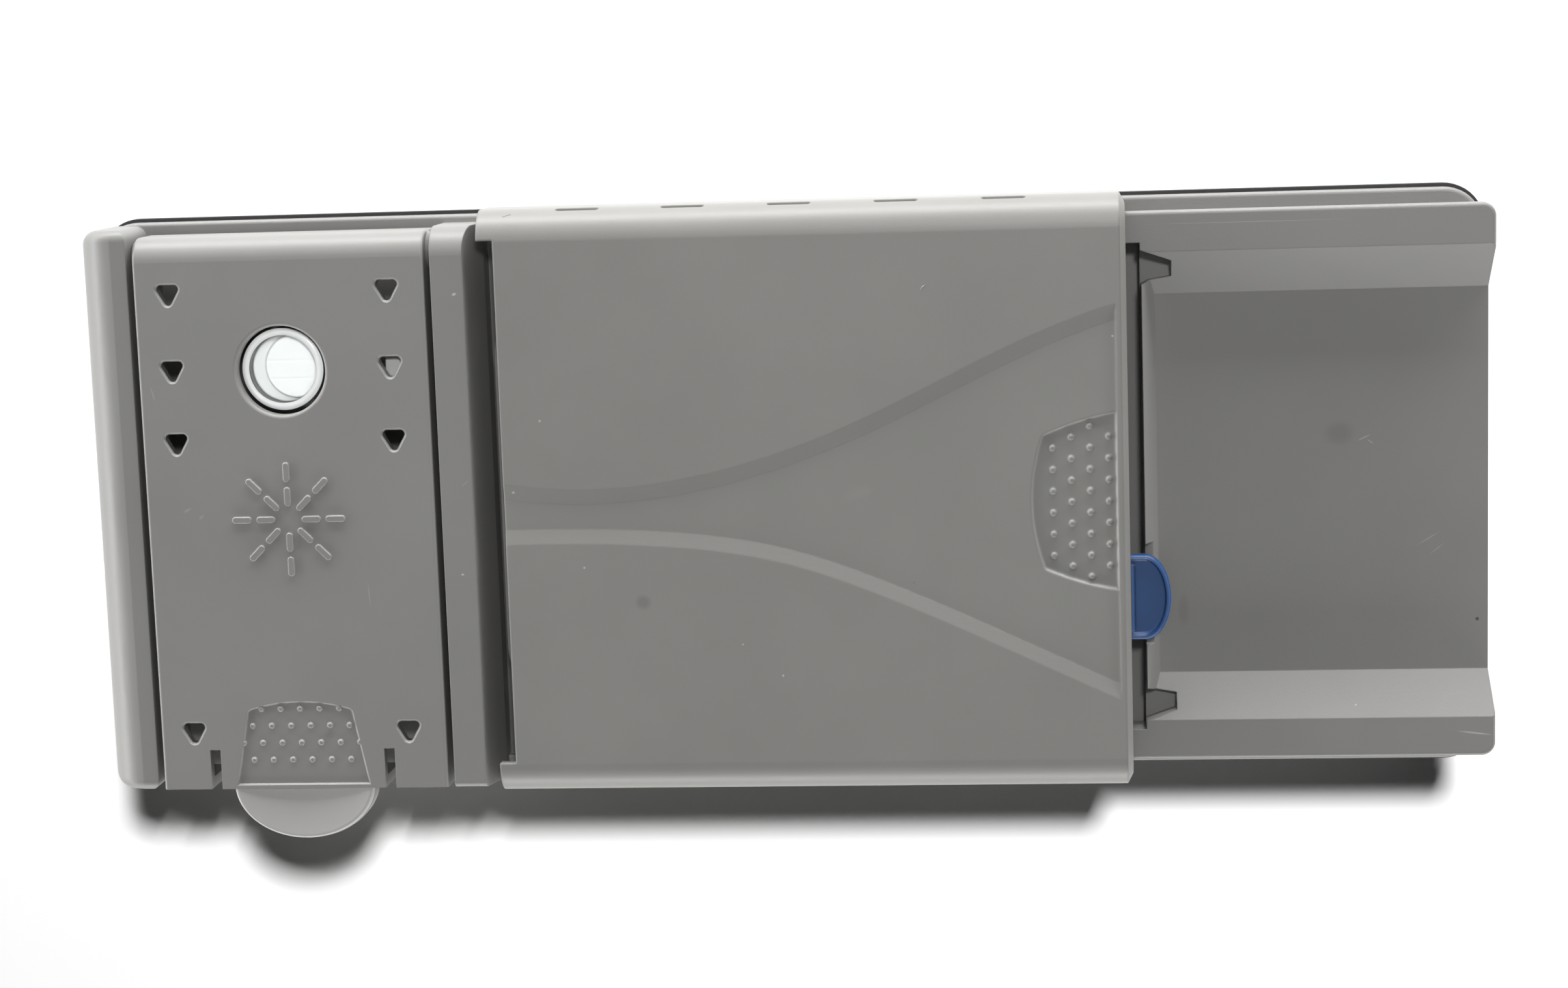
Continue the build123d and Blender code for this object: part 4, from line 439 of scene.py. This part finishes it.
    # Glass-filled polyamide, near black, with the pale haze that glass fibres leave at the skin
    bobbin = Polymer("glass_filled_polyamide", "23262b", Texture.FINE_ERODED, 0.42)
    # Amber tape over copper, glossy, with a raised edge at each turn
    winding = TapedCoil("polyester_tape_winding", "c8a13a", 4.0)
    # Hard-drawn spring wire: bright grey with fine drawing lines
    spring = Metal("drawn_spring_steel", "9a9b9d", 0.28)
    # Carbon steel ground to size: brighter and finer lined
    steel = Metal("ground_steel", "b4b5b6", 0.22)
    # Zinc plate over steel, paler and slightly cloudy
    zinc = Metal("zinc_plated_steel", "c3c5c6", 0.3, line_mm=0.4)
    # Tin over brass: warm white with the stamping's lines
    brass = Metal("tinned_brass", "cfcac0", 0.26, line_mm=0.25)
    # Titanium-white polypropylene of the reflector under the lens: opaque, evenly bright, glossy
    reflector = Polymer("white_reflector", "f4f4f3", Texture.POLISHED, 0.25, cloud=0.01)
    # Torn edge of flash, paler than the part that it stands on because the tear scatters light
    flash = Polymer("torn_flash", "d8d7d3", Texture.FINE_ERODED, 0.5)


class Dressing:
    """Puts finished materials on the frame's own pieces."""

    nodes = {
        "body": ("base_frame",),
        "cover": ("sliding_cover",),
        "flap": ("rinse_flap",),
        "gasket": ("flange_gasket",),
        "seal": ("cup_seal", "flap_seal", "lens_seal", "piston_seal"),
        "lens": ("level_lens",),
        "dial": ("dosing_dial",),
        "white": ("filler_strainer", "dosing_piston", "link_bar", "trip_lever"),
        "latch": ("latch",),
        "tank": ("rinse_tank",),
        "housing": ("actuator_housing",),
        "bobbin": ("coil_bobbin",),
        "winding": ("coil_winding",),
        "spring": ("latch_spring", "cover_spring", "piston_spring", "armature_spring", "door_clips"),
        "steel": ("latch_pin", "lever_pin", "armature", "coil_core"),
        "zinc": ("coil_yoke", "yoke_plate", "housing_screws"),
        "brass": ("coil_blades",),
    }

    def __init__(self) -> None:
        """Build each material once."""
        self.materials = {name: getattr(Finishes, name).material()
                          for name in [*self.nodes, "tab", "reflector", "flash"]}

    def dress(self) -> None:
        """Put the material of each group on its nodes."""
        for name, members in self.nodes.items():
            for node in members:
                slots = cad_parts[node].data.materials
                for index in range(len(slots)):
                    slots[index] = self.materials[name]
            LOG.info("%s on %s", self.materials[name].name, ", ".join(members))


def close_points(mesh: bpy.types.Mesh) -> None:
    """Join points less than a tenth of a micrometre apart, which closes poles and seams."""
    work = bmesh.new()
    work.from_mesh(mesh)
    bmesh.ops.remove_doubles(work, verts=work.verts, dist=1e-4 * MM)
    work.to_mesh(mesh)
    work.free()


def grid_object(name: str, points: np.ndarray, material: bpy.types.Material,
                closed: bool = False) -> bpy.types.Object:
    """Make a smooth quad surface from a grid of points.

    Its faces look along rows x columns, so rows that go outwards and columns that turn left look up.

    Args:
        name: the piece's name.
        points: an array of rows, columns and xyz, in metres.
        material: what it is made of.
        closed: whether the last column joins the first.

    Returns:
        The new object, at the origin.
    """
    rows, columns = points.shape[:2]
    index = np.arange(rows * columns).reshape(rows, columns)
    if closed:
        index = np.hstack([index, index[:, :1]])
    quads = np.stack([index[:-1, :-1], index[1:, :-1], index[1:, 1:], index[:-1, 1:]], axis=-1)
    quads = quads.reshape(-1, 4)
    mesh = bpy.data.meshes.new(name)
    mesh.from_pydata(points.reshape(-1, 3).tolist(), [], quads.tolist())
    mesh.polygons.foreach_set("use_smooth", np.ones(len(quads), bool))
    mesh.materials.append(material)
    close_points(mesh)
    piece = bpy.data.objects.new(name, mesh)
    bpy.context.scene.collection.objects.link(piece)
    return piece


def turned(name: str, profile_mm: np.ndarray, centre_mm: tuple[float, float],
           material: bpy.types.Material, steps: int = 96) -> bpy.types.Object:
    """Turn a profile round an upright axis.

    Each point is the centre plus the radius times the cosine and sine of an even angle, at the
    profile's height.

    Args:
        name: the piece's name.
        profile_mm: rows of radius and height.
        centre_mm: where the axis stands.
        material: what it is made of.
        steps: columns round the axis.

    Returns:
        The new object.
    """
    angle = np.linspace(0, TURN, steps, endpoint=False)
    radius, height = profile_mm[:, :1], profile_mm[:, 1:]
    x = centre_mm[0] + radius * np.cos(angle)
    y = centre_mm[1] + radius * np.sin(angle)
    z = height + 0 * angle
    return grid_object(name, np.stack([x, y, z], axis=-1) * MM, material, closed=True)


@dataclass
class SightGlass:
    """The white reflector under the clear sight lens, stepped so that rinse aid darkens it by level."""

    centre_mm: tuple[float, float] = (-81.3, 22.9)
    radius_mm: float = 5.65
    top_mm: float = 12.85
    step_mm: float = 1.1
    lower_step_mm: float = 0.45
    arc_centre_mm: tuple[float, float] = (-79.2, 23.3)
    arc_radii_mm: tuple[float, float] = (5.1, 7.6)
    ease_mm: float = 0.35
    groove_y_mm: tuple[float, ...] = (24.2, 21.2)
    groove_depth_mm: float = 0.12
    groove_width_mm: float = 0.14
    edge_share: float = 0.05
    edge_drop_mm: float = 0.5
    ring_radii_mm: tuple[float, float] = (5.6, 6.72)
    ring_top_mm: float = 14.42
    ring_arch_mm: float = 0.25
    pad_mm: tuple[float, float, float, float] = (-64.3, -60.6, 20.9, 24.9)
    pad_heights_mm: tuple[float, float] = (10.35, 14.6)
    pad_round: float = 0.2

    def build(self, material: bpy.types.Material) -> bpy.types.Object:
        """Build the reflector.

        Its height falls by a step wherever the distance from the arcs' centre passes an arc's radius,
        each step eased, and by a bell-shaped groove near each groove line.  Its edge turns down with the
        square of the way across it.

        Args:
            material: the reflector's finish.

        Returns:
            The reflector.
        """
        share, angle = np.linspace(0, 1, 47)[:, None], np.linspace(0, TURN, 128, endpoint=False)
        x = self.centre_mm[0] + self.radius_mm * share * np.cos(angle)
        y = self.centre_mm[1] + self.radius_mm * share * np.sin(angle)
        far = np.hypot(x - self.arc_centre_mm[0], y - self.arc_centre_mm[1])
        z = self.top_mm - self.step_mm * self.eased(far, self.arc_radii_mm[0])
        z = z - self.lower_step_mm * self.eased(far, self.arc_radii_mm[1])
        for line in self.groove_y_mm:
            groove = self.groove_depth_mm * np.exp(-((y - line) / self.groove_width_mm) ** 2)
            z = z - groove * (far < self.arc_radii_mm[0])
        z = z - self.edge_drop_mm * np.clip(1 - (1 - share) / self.edge_share, 0, 1) ** 2
        return grid_object("lens_reflector", np.stack([x, y, z], axis=-1) * MM, material, closed=True)

    def ring(self, material: bpy.types.Material) -> bpy.types.Object:
        """Build the white ring that shows inside the lens's wall.

        Its section is an arch: the height rises and falls as a half sine over the ring's width.

        Args:
            material: the ring's finish.

        Returns:
            The ring.
        """
        share = np.linspace(0, 1, 9)
        radius = self.ring_radii_mm[0] + share * (self.ring_radii_mm[1] - self.ring_radii_mm[0])
        height = self.ring_top_mm - self.ring_arch_mm * (1 - np.sin(math.pi * share))
        return turned("lens_rim_ring", np.stack([radius, height], axis=-1), self.centre_mm, material)

    def wing_pad(self, material: bpy.types.Material) -> bpy.types.Object:
        """Build the white pad on the lens's wing, which shows through one drain hole of the flap.

        On a square grid its height is the pad's top, except over its round, where it falls to the wing
        as a quarter circle with the larger of the two offsets from the middle, in half widths.

        Args:
            material: the pad's finish.

        Returns:
            The pad.
        """
        left, right, low, high = self.pad_mm
        across = np.linspace(-1, 1, 41)
        u, v = np.meshgrid(across, across, indexing="ij")
        edge = np.clip(1 - (1 - np.maximum(abs(u), abs(v))) / self.pad_round, 0, 1)
        foot, top = self.pad_heights_mm
        z = foot + (top - foot) * np.sqrt(1 - edge ** 2)
        x, y = (left + right) / 2 + u * (right - left) / 2, (low + high) / 2 + v * (high - low) / 2
        return grid_object("lens_wing_pad", np.stack([x, y, z], axis=-1) * MM, material)

    def eased(self, far: np.ndarray, radius: float) -> np.ndarray:
        """Rise from 0 to 1 as a smooth step that starts at a radius: 3 s^2 - 2 s^3."""
        part = np.clip((far - radius) / self.ease_mm, 0, 1)
        return part * part * (3 - 2 * part)


@dataclass
class PullTab:
    """The dished skin of the flap's pull tab, which climbs to a rolled lip."""

    centre_mm: tuple[float, float] = (-81.0, -46.6)
    radii_mm: tuple[float, float] = (11.35, 8.65)
    floor_mm: float = 16.5
    rise_mm: float = 0.45
    lip_mm: float = 0.55
    fall_mm: float = 0.75

    def build(self, material: bpy.types.Material) -> bpy.types.Object:
        """Build the skin over half an ellipse.

        With s the share of the way from the root's middle to the lip, the height is the floor plus the rise
        times s squared.  Beyond the lip it follows a quarter circle outwards and down.

        Args:
            material: the skin's finish.

        Returns:
            The skin.
        """
        angle = np.linspace(TURN / 2, TURN, 97)
        dish = np.linspace(0, 1, 40)[:, None]
        turn = np.linspace(0, TURN / 4, 9)[1:, None]
        share = np.vstack([dish, 1 + 0 * turn])
        out = np.vstack([0 * dish, self.lip_mm * np.sin(turn)])
        drop = np.vstack([0 * dish, self.fall_mm * (1 - np.cos(turn))])
        x = self.centre_mm[0] + (self.radii_mm[0] * share + out) * np.cos(angle)
        y = self.centre_mm[1] + (self.radii_mm[1] * share + out) * np.sin(angle)
        z = self.floor_mm + self.rise_mm * share ** 2 - drop + 0 * angle
        return grid_object("flap_tab_skin", np.stack([x, y, z], axis=-1) * MM, material)


@dataclass
class DialScale:
    """Raised numbers round the dosing dial, one for each setting."""

    centre_mm: tuple[float, float] = (-81.0, -31.0)
    radius_mm: float = 10.2
    face_mm: float = 4.5
    settings: int = 6
    step_deg: float = 45.0
    size_mm: float = 3.51
    rise_mm: float = 0.2

    def build(self, material: bpy.types.Material) -> list[bpy.types.Object]:
        """Build one raised numeral per setting.

        Numeral n stands at the angle of n - 1 steps, clockwise from the top of the dial.

        Args:
            material: the finish of the moulding that they belong to.

        Returns:
            The numerals.
        """
        return [self.numeral(n, material) for n in range(1, self.settings + 1)]

    def numeral(self, number: int, material: bpy.types.Material) -> bpy.types.Object:
        """Make one numeral a mesh, close it, and only then put it in its place.

        Args:
            number: the number that it shows.
            material: its finish.

        Returns:
            The numeral.
        """
        curve = bpy.data.curves.new(f"numeral_{number}", "FONT")
        curve.body, curve.size = str(number), self.size_mm * MM
        curve.align_x, curve.align_y = "CENTER", "CENTER"
        curve.extrude = self.rise_mm * MM
        text = bpy.data.objects.new("numeral_text", curve)
        mesh = bpy.data.meshes.new_from_object(text)
        angle = math.radians(90 - (number - 1) * self.step_deg)
        place = Vector((self.centre_mm[0] + self.radius_mm * math.cos(angle),
                        self.centre_mm[1] + self.radius_mm * math.sin(angle), self.face_mm)) * MM
        close_points(mesh)
        mesh.transform(Matrix.Translation(place))
        mesh.materials.clear()
        mesh.materials.append(material)
        bpy.data.objects.remove(text)
        bpy.data.curves.remove(curve)
        piece = bpy.data.objects.new(f"dial_numeral_{number}", mesh)
        bpy.context.scene.collection.objects.link(piece)
        return piece


@dataclass
class Flash:
    """Thin slivers that the mould left on an edge or a face."""

    width_mm: float = 0.16
    thick_mm: float = 0.03

    def sliver(self, name: str, start_mm: tuple[float, float, float],
               end_mm: tuple[float, float, float], bow_mm: float,
               material: bpy.types.Material) -> bpy.types.Object:
        """Build one sliver along a bowed line.

        Its middle line goes straight from start to end, plus a half sine of the bow sideways.  Its
        section is an ellipse that shrinks to nothing at both ends with the root of the sine.

        Args:
            name: the piece's name.
            start_mm: where it starts.
            end_mm: where it ends.
            bow_mm: how far its middle stands off the straight line.
            material: its finish.

        Returns:
            The sliver.
        """
        share, angle = np.linspace(0, 1, 25)[:, None], np.linspace(TURN, 0, 10, endpoint=False)
        start, end = np.array(start_mm), np.array(end_mm)
        along = (end - start) / np.linalg.norm(end - start)
        side = np.array([-along[1], along[0], 0.0])
        slim = np.sqrt(np.clip(np.sin(math.pi * share), 0, None))
        across = bow_mm * np.sin(math.pi * share) + self.width_mm / 2 * slim * np.cos(angle)
        up = self.thick_mm / 2 * slim * np.sin(angle)
        points = (start + share[..., None] * (end - start) + across[..., None] * side
                  + up[..., None] * np.array([0.0, 0.0, 1.0]))
        return grid_object(name, points * MM, material, closed=True)


@dataclass(frozen=True)
class Wall:
    """A low wall of light: where it stands, its width, and its power on the part and on pale pieces."""

    name: str
    place: tuple[float, float, float]
    width: float
    watts: float
    pale_watts: float


@dataclass
class Studio:
    """Pale floor, white surroundings, a high lamp, four low walls of light, a lamp below and the camera."""

    floor_z: float
    part: bpy.types.Collection
    pale: bpy.types.Collection
    ground: bpy.types.Collection
    floor_size: float = 6.0
    fade_from: float = 0.3
    fade_to: float = 0.8
    high_place: tuple[float, float, float] = (0.16, 0.345, 0.95)
    high_size: float = 0.10
    high_watts: float = 3.0
    floor_watts: float = 15.5
    wall_height: float = 0.24
    # Weaker on the milky pieces behind the door, which would burn out under the photo's edge light
    walls: tuple[Wall, ...] = (
        Wall("back", (0.0, 1.0, 0.13), 2.0, 27.0, 9.0),
        Wall("front", (0.0, -1.0, 0.13), 2.0, 13.0, 7.0),
        Wall("right", (1.0, 0.0, 0.13), 1.5, 2.4, 2.4),
        Wall("left", (-1.0, 0.0, 0.13), 1.5, 12.2, 6.0))
    # Shows the back of the unit through the floor, and reaches no face that is seen from above
    under_place: tuple[float, float, float] = (0.0, 0.0, -0.95)
    under_size: float = 0.3
    under_watts: tuple[float, float] = (3.0, 1.8)
    camera_place_mm: tuple[float, float, float] = (48.006, 72.569, 497.372)
    camera_aim_mm: tuple[float, float, float] = (-0.64, -1.54, 0.0)
    camera_roll_deg: float = -1.884
    lens_mm: float = 69.19
    sensor_mm: float = 36.0

    def build(self) -> None:
        """Make the floor, the world, the lamps and the camera."""
        self.floor()
        self.world()
        high, under = (self.high_size, self.high_size), (self.under_size, self.under_size)
        self.lamp("high_lamp", self.high_place, high, self.high_watts, self.part)
        self.lamp("floor_lamp", self.high_place, high, self.floor_watts, self.ground)
        for wall in self.walls:
            size = (wall.width, self.wall_height)
            self.lamp(f"{wall.name}_wall", wall.place, size, wall.watts, self.part)
            self.lamp(f"{wall.name}_wall_pale", wall.place, size, wall.pale_watts, self.pale)
        self.lamp("high_lamp_pale", self.high_place, high, self.high_watts, self.pale)
        self.lamp("under_lamp", self.under_place, under, self.under_watts[0], self.part)
        self.lamp("under_lamp_pale", self.under_place, under, self.under_watts[1], self.pale)
        self.camera()

    def floor(self) -> None:
        """Lay a pale floor, which has a lamp of its own in the high lamp's place and keeps the shadow.

        To the camera it fades to plain white with the distance from the part.  From below it is clear,
        and the lamp below shines through it.
        """
        half = self.floor_size / 2
        corner = np.array([-half, half])
        x, y = np.meshgrid(corner, corner, indexing="ij")
        material, tree, shader = new_material("pale_studio_floor")
        shader.inputs["Base Color"].default_value = linear("f2f2f2")
        shader.inputs["Roughness"].default_value = 0.9
        shader.inputs["Specular IOR Level"].default_value = 0.0
        coords = add_node(tree, "ShaderNodeTexCoord").outputs["Object"]
        far = add_node(tree, "ShaderNodeVectorMath", {0: coords}, operation="LENGTH")
        share = add_node(tree, "ShaderNodeMapRange",
                         {"Value": far.outputs["Value"], "From Min": self.fade_from, "From Max": self.fade_to},
                         interpolation_type="SMOOTHSTEP")
        path = add_node(tree, "ShaderNodeLightPath")
        seen = add_node(tree, "ShaderNodeMath", {0: share.outputs[0], 1: path.outputs["Is Camera Ray"]},
                        operation="MULTIPLY")
        white = add_node(tree, "ShaderNodeEmission", {"Color": linear("ffffff")})
        faded = add_node(tree, "ShaderNodeMixShader",
                         {0: seen.outputs[0], 1: shader.outputs[0], 2: white.outputs[0]})
        side = add_node(tree, "ShaderNodeNewGeometry")
        clear = add_node(tree, "ShaderNodeBsdfTransparent")
        through = add_node(tree, "ShaderNodeMath",
                           {0: side.outputs["Backfacing"], 1: path.outputs["Is Shadow Ray"]},
                           operation="MAXIMUM")
        mixed = add_node(tree, "ShaderNodeMixShader",
                         {0: through.outputs[0], 1: faded.outputs[0], 2: clear.outputs[0]})
        tree.links.new(mixed.outputs[0], tree.nodes["Material Output"].inputs["Surface"])
        points = np.stack([x, y, np.full_like(x, self.floor_z)], axis=-1)
        plane = grid_object("studio_floor", points, material)
        self.ground.objects.link(plane)

    def world(self) -> None:
        """Make the world white where it is seen, mirrored or shines through a clear piece."""
        world = bpy.data.worlds.new("white_studio")
        bpy.context.scene.world = world
        world.use_nodes = True
        tree = world.node_tree
        tree.nodes.clear()
        path = add_node(tree, "ShaderNodeLightPath")
        seen = add_node(tree, "ShaderNodeMath",
                        {0: path.outputs["Is Camera Ray"], 1: path.outputs["Is Glossy Ray"]},
                        operation="MAXIMUM")
        shown = add_node(tree, "ShaderNodeMath",
                         {0: seen.outputs[0], 1: path.outputs["Is Transmission Ray"]}, operation="MAXIMUM")
        white = add_node(tree, "ShaderNodeBackground",
                         {"Color": linear("ffffff"), "Strength": shown.outputs[0]})
        add_node(tree, "ShaderNodeOutputWorld", {"Surface": white.outputs[0]})

    def lamp(self, name: str, place: tuple[float, float, float], size: tuple[float, float],
             watts: float, lit: bpy.types.Collection) -> None:
        """Hang a rectangular lamp that faces the part.

        Args:
            name: the lamp's name.
            place: where it hangs, in metres.
            size: its width and height.
            watts: its power.
            lit: what it lights.
        """
        data = bpy.data.lights.new(name, "AREA")
        data.shape, data.size, data.size_y, data.energy = "RECTANGLE", *size, watts
        lamp = bpy.data.objects.new(name, data)
        lamp.location = place
        lamp.rotation_euler = (-Vector(place)).to_track_quat("-Z", "Y").to_euler()
        bpy.context.scene.collection.objects.link(lamp)
        lamp.light_linking.receiver_collection = lit

    def camera(self) -> None:
        """Stand the camera where the photograph was taken from."""
        data = bpy.data.cameras.new("camera")
        data.sensor_width, data.lens = self.sensor_mm, self.lens_mm
        data.clip_start, data.clip_end = 0.01, 20.0
        place = Vector(self.camera_place_mm) * MM
        back = (place - Vector(self.camera_aim_mm) * MM).normalized()
        level = Vector((0, 1, 0)).cross(back).normalized()
        right = Matrix.Rotation(math.radians(self.camera_roll_deg), 3, back) @ level
        camera = bpy.data.objects.new("camera", data)
        turn = Matrix((right, back.cross(right), back)).transposed()
        camera.matrix_world = Matrix.Translation(place) @ turn.to_4x4()
        bpy.context.scene.collection.objects.link(camera)
        bpy.context.scene.camera = camera


def ride(pieces: list[bpy.types.Object], body: str, part: bpy.types.Collection) -> None:
    """Let new pieces ride on a body, and light them as the rest of the part.

    Args:
        pieces: the new pieces.
        body: the body that carries them.
        part: the collection that the lamps light.
    """
    for piece in pieces:
        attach(piece, body)
        part.objects.link(piece)
        LOG.info("%s rides on %s", piece.name, body)


def main() -> None:
    """Build the studio and every piece in order."""
    logging.basicConfig(level=logging.INFO, format="%(name)s: %(message)s")
    scene = bpy.context.scene
    scene.view_settings.view_transform = "Standard"
    part, pale, ground = (bpy.data.collections.new(name) for name in ("part", "pale", "ground"))
    for name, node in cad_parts.items():
        (pale if name in Dressing.nodes["tank"] + Dressing.nodes["white"] else part).objects.link(node)
    Studio(floor_z=cad_box[0].z, part=part, pale=pale, ground=ground).build()
    dressing = Dressing()
    dressing.dress()
    finish = dressing.materials
    glass = SightGlass()
    ride([make(finish["reflector"]) for make in (glass.build, glass.ring, glass.wing_pad)],
         "frame", part)
    ride(DialScale().build(finish["body"]), "frame", part)
    flash, torn = Flash(), finish["flash"]
    ride([flash.sliver("cover_flash_hair", (24.0, 33.4, 17.52), (24.9, 34.4, 17.52), 0.2, torn),
          flash.sliver("cover_flash_corner", (-43.2, 46.9, 16.9), (-41.6, 47.3, 16.9), 0.1, torn)],
         "cover", part)
    ride([PullTab().build(finish["tab"]),
          flash.sliver("flap_flash_sliver", (-92.9, -47.3, 16.2), (-91.0, -47.35, 16.2), -0.1, torn)],
         "flap", part)


if __name__ == "__main__":
    main()
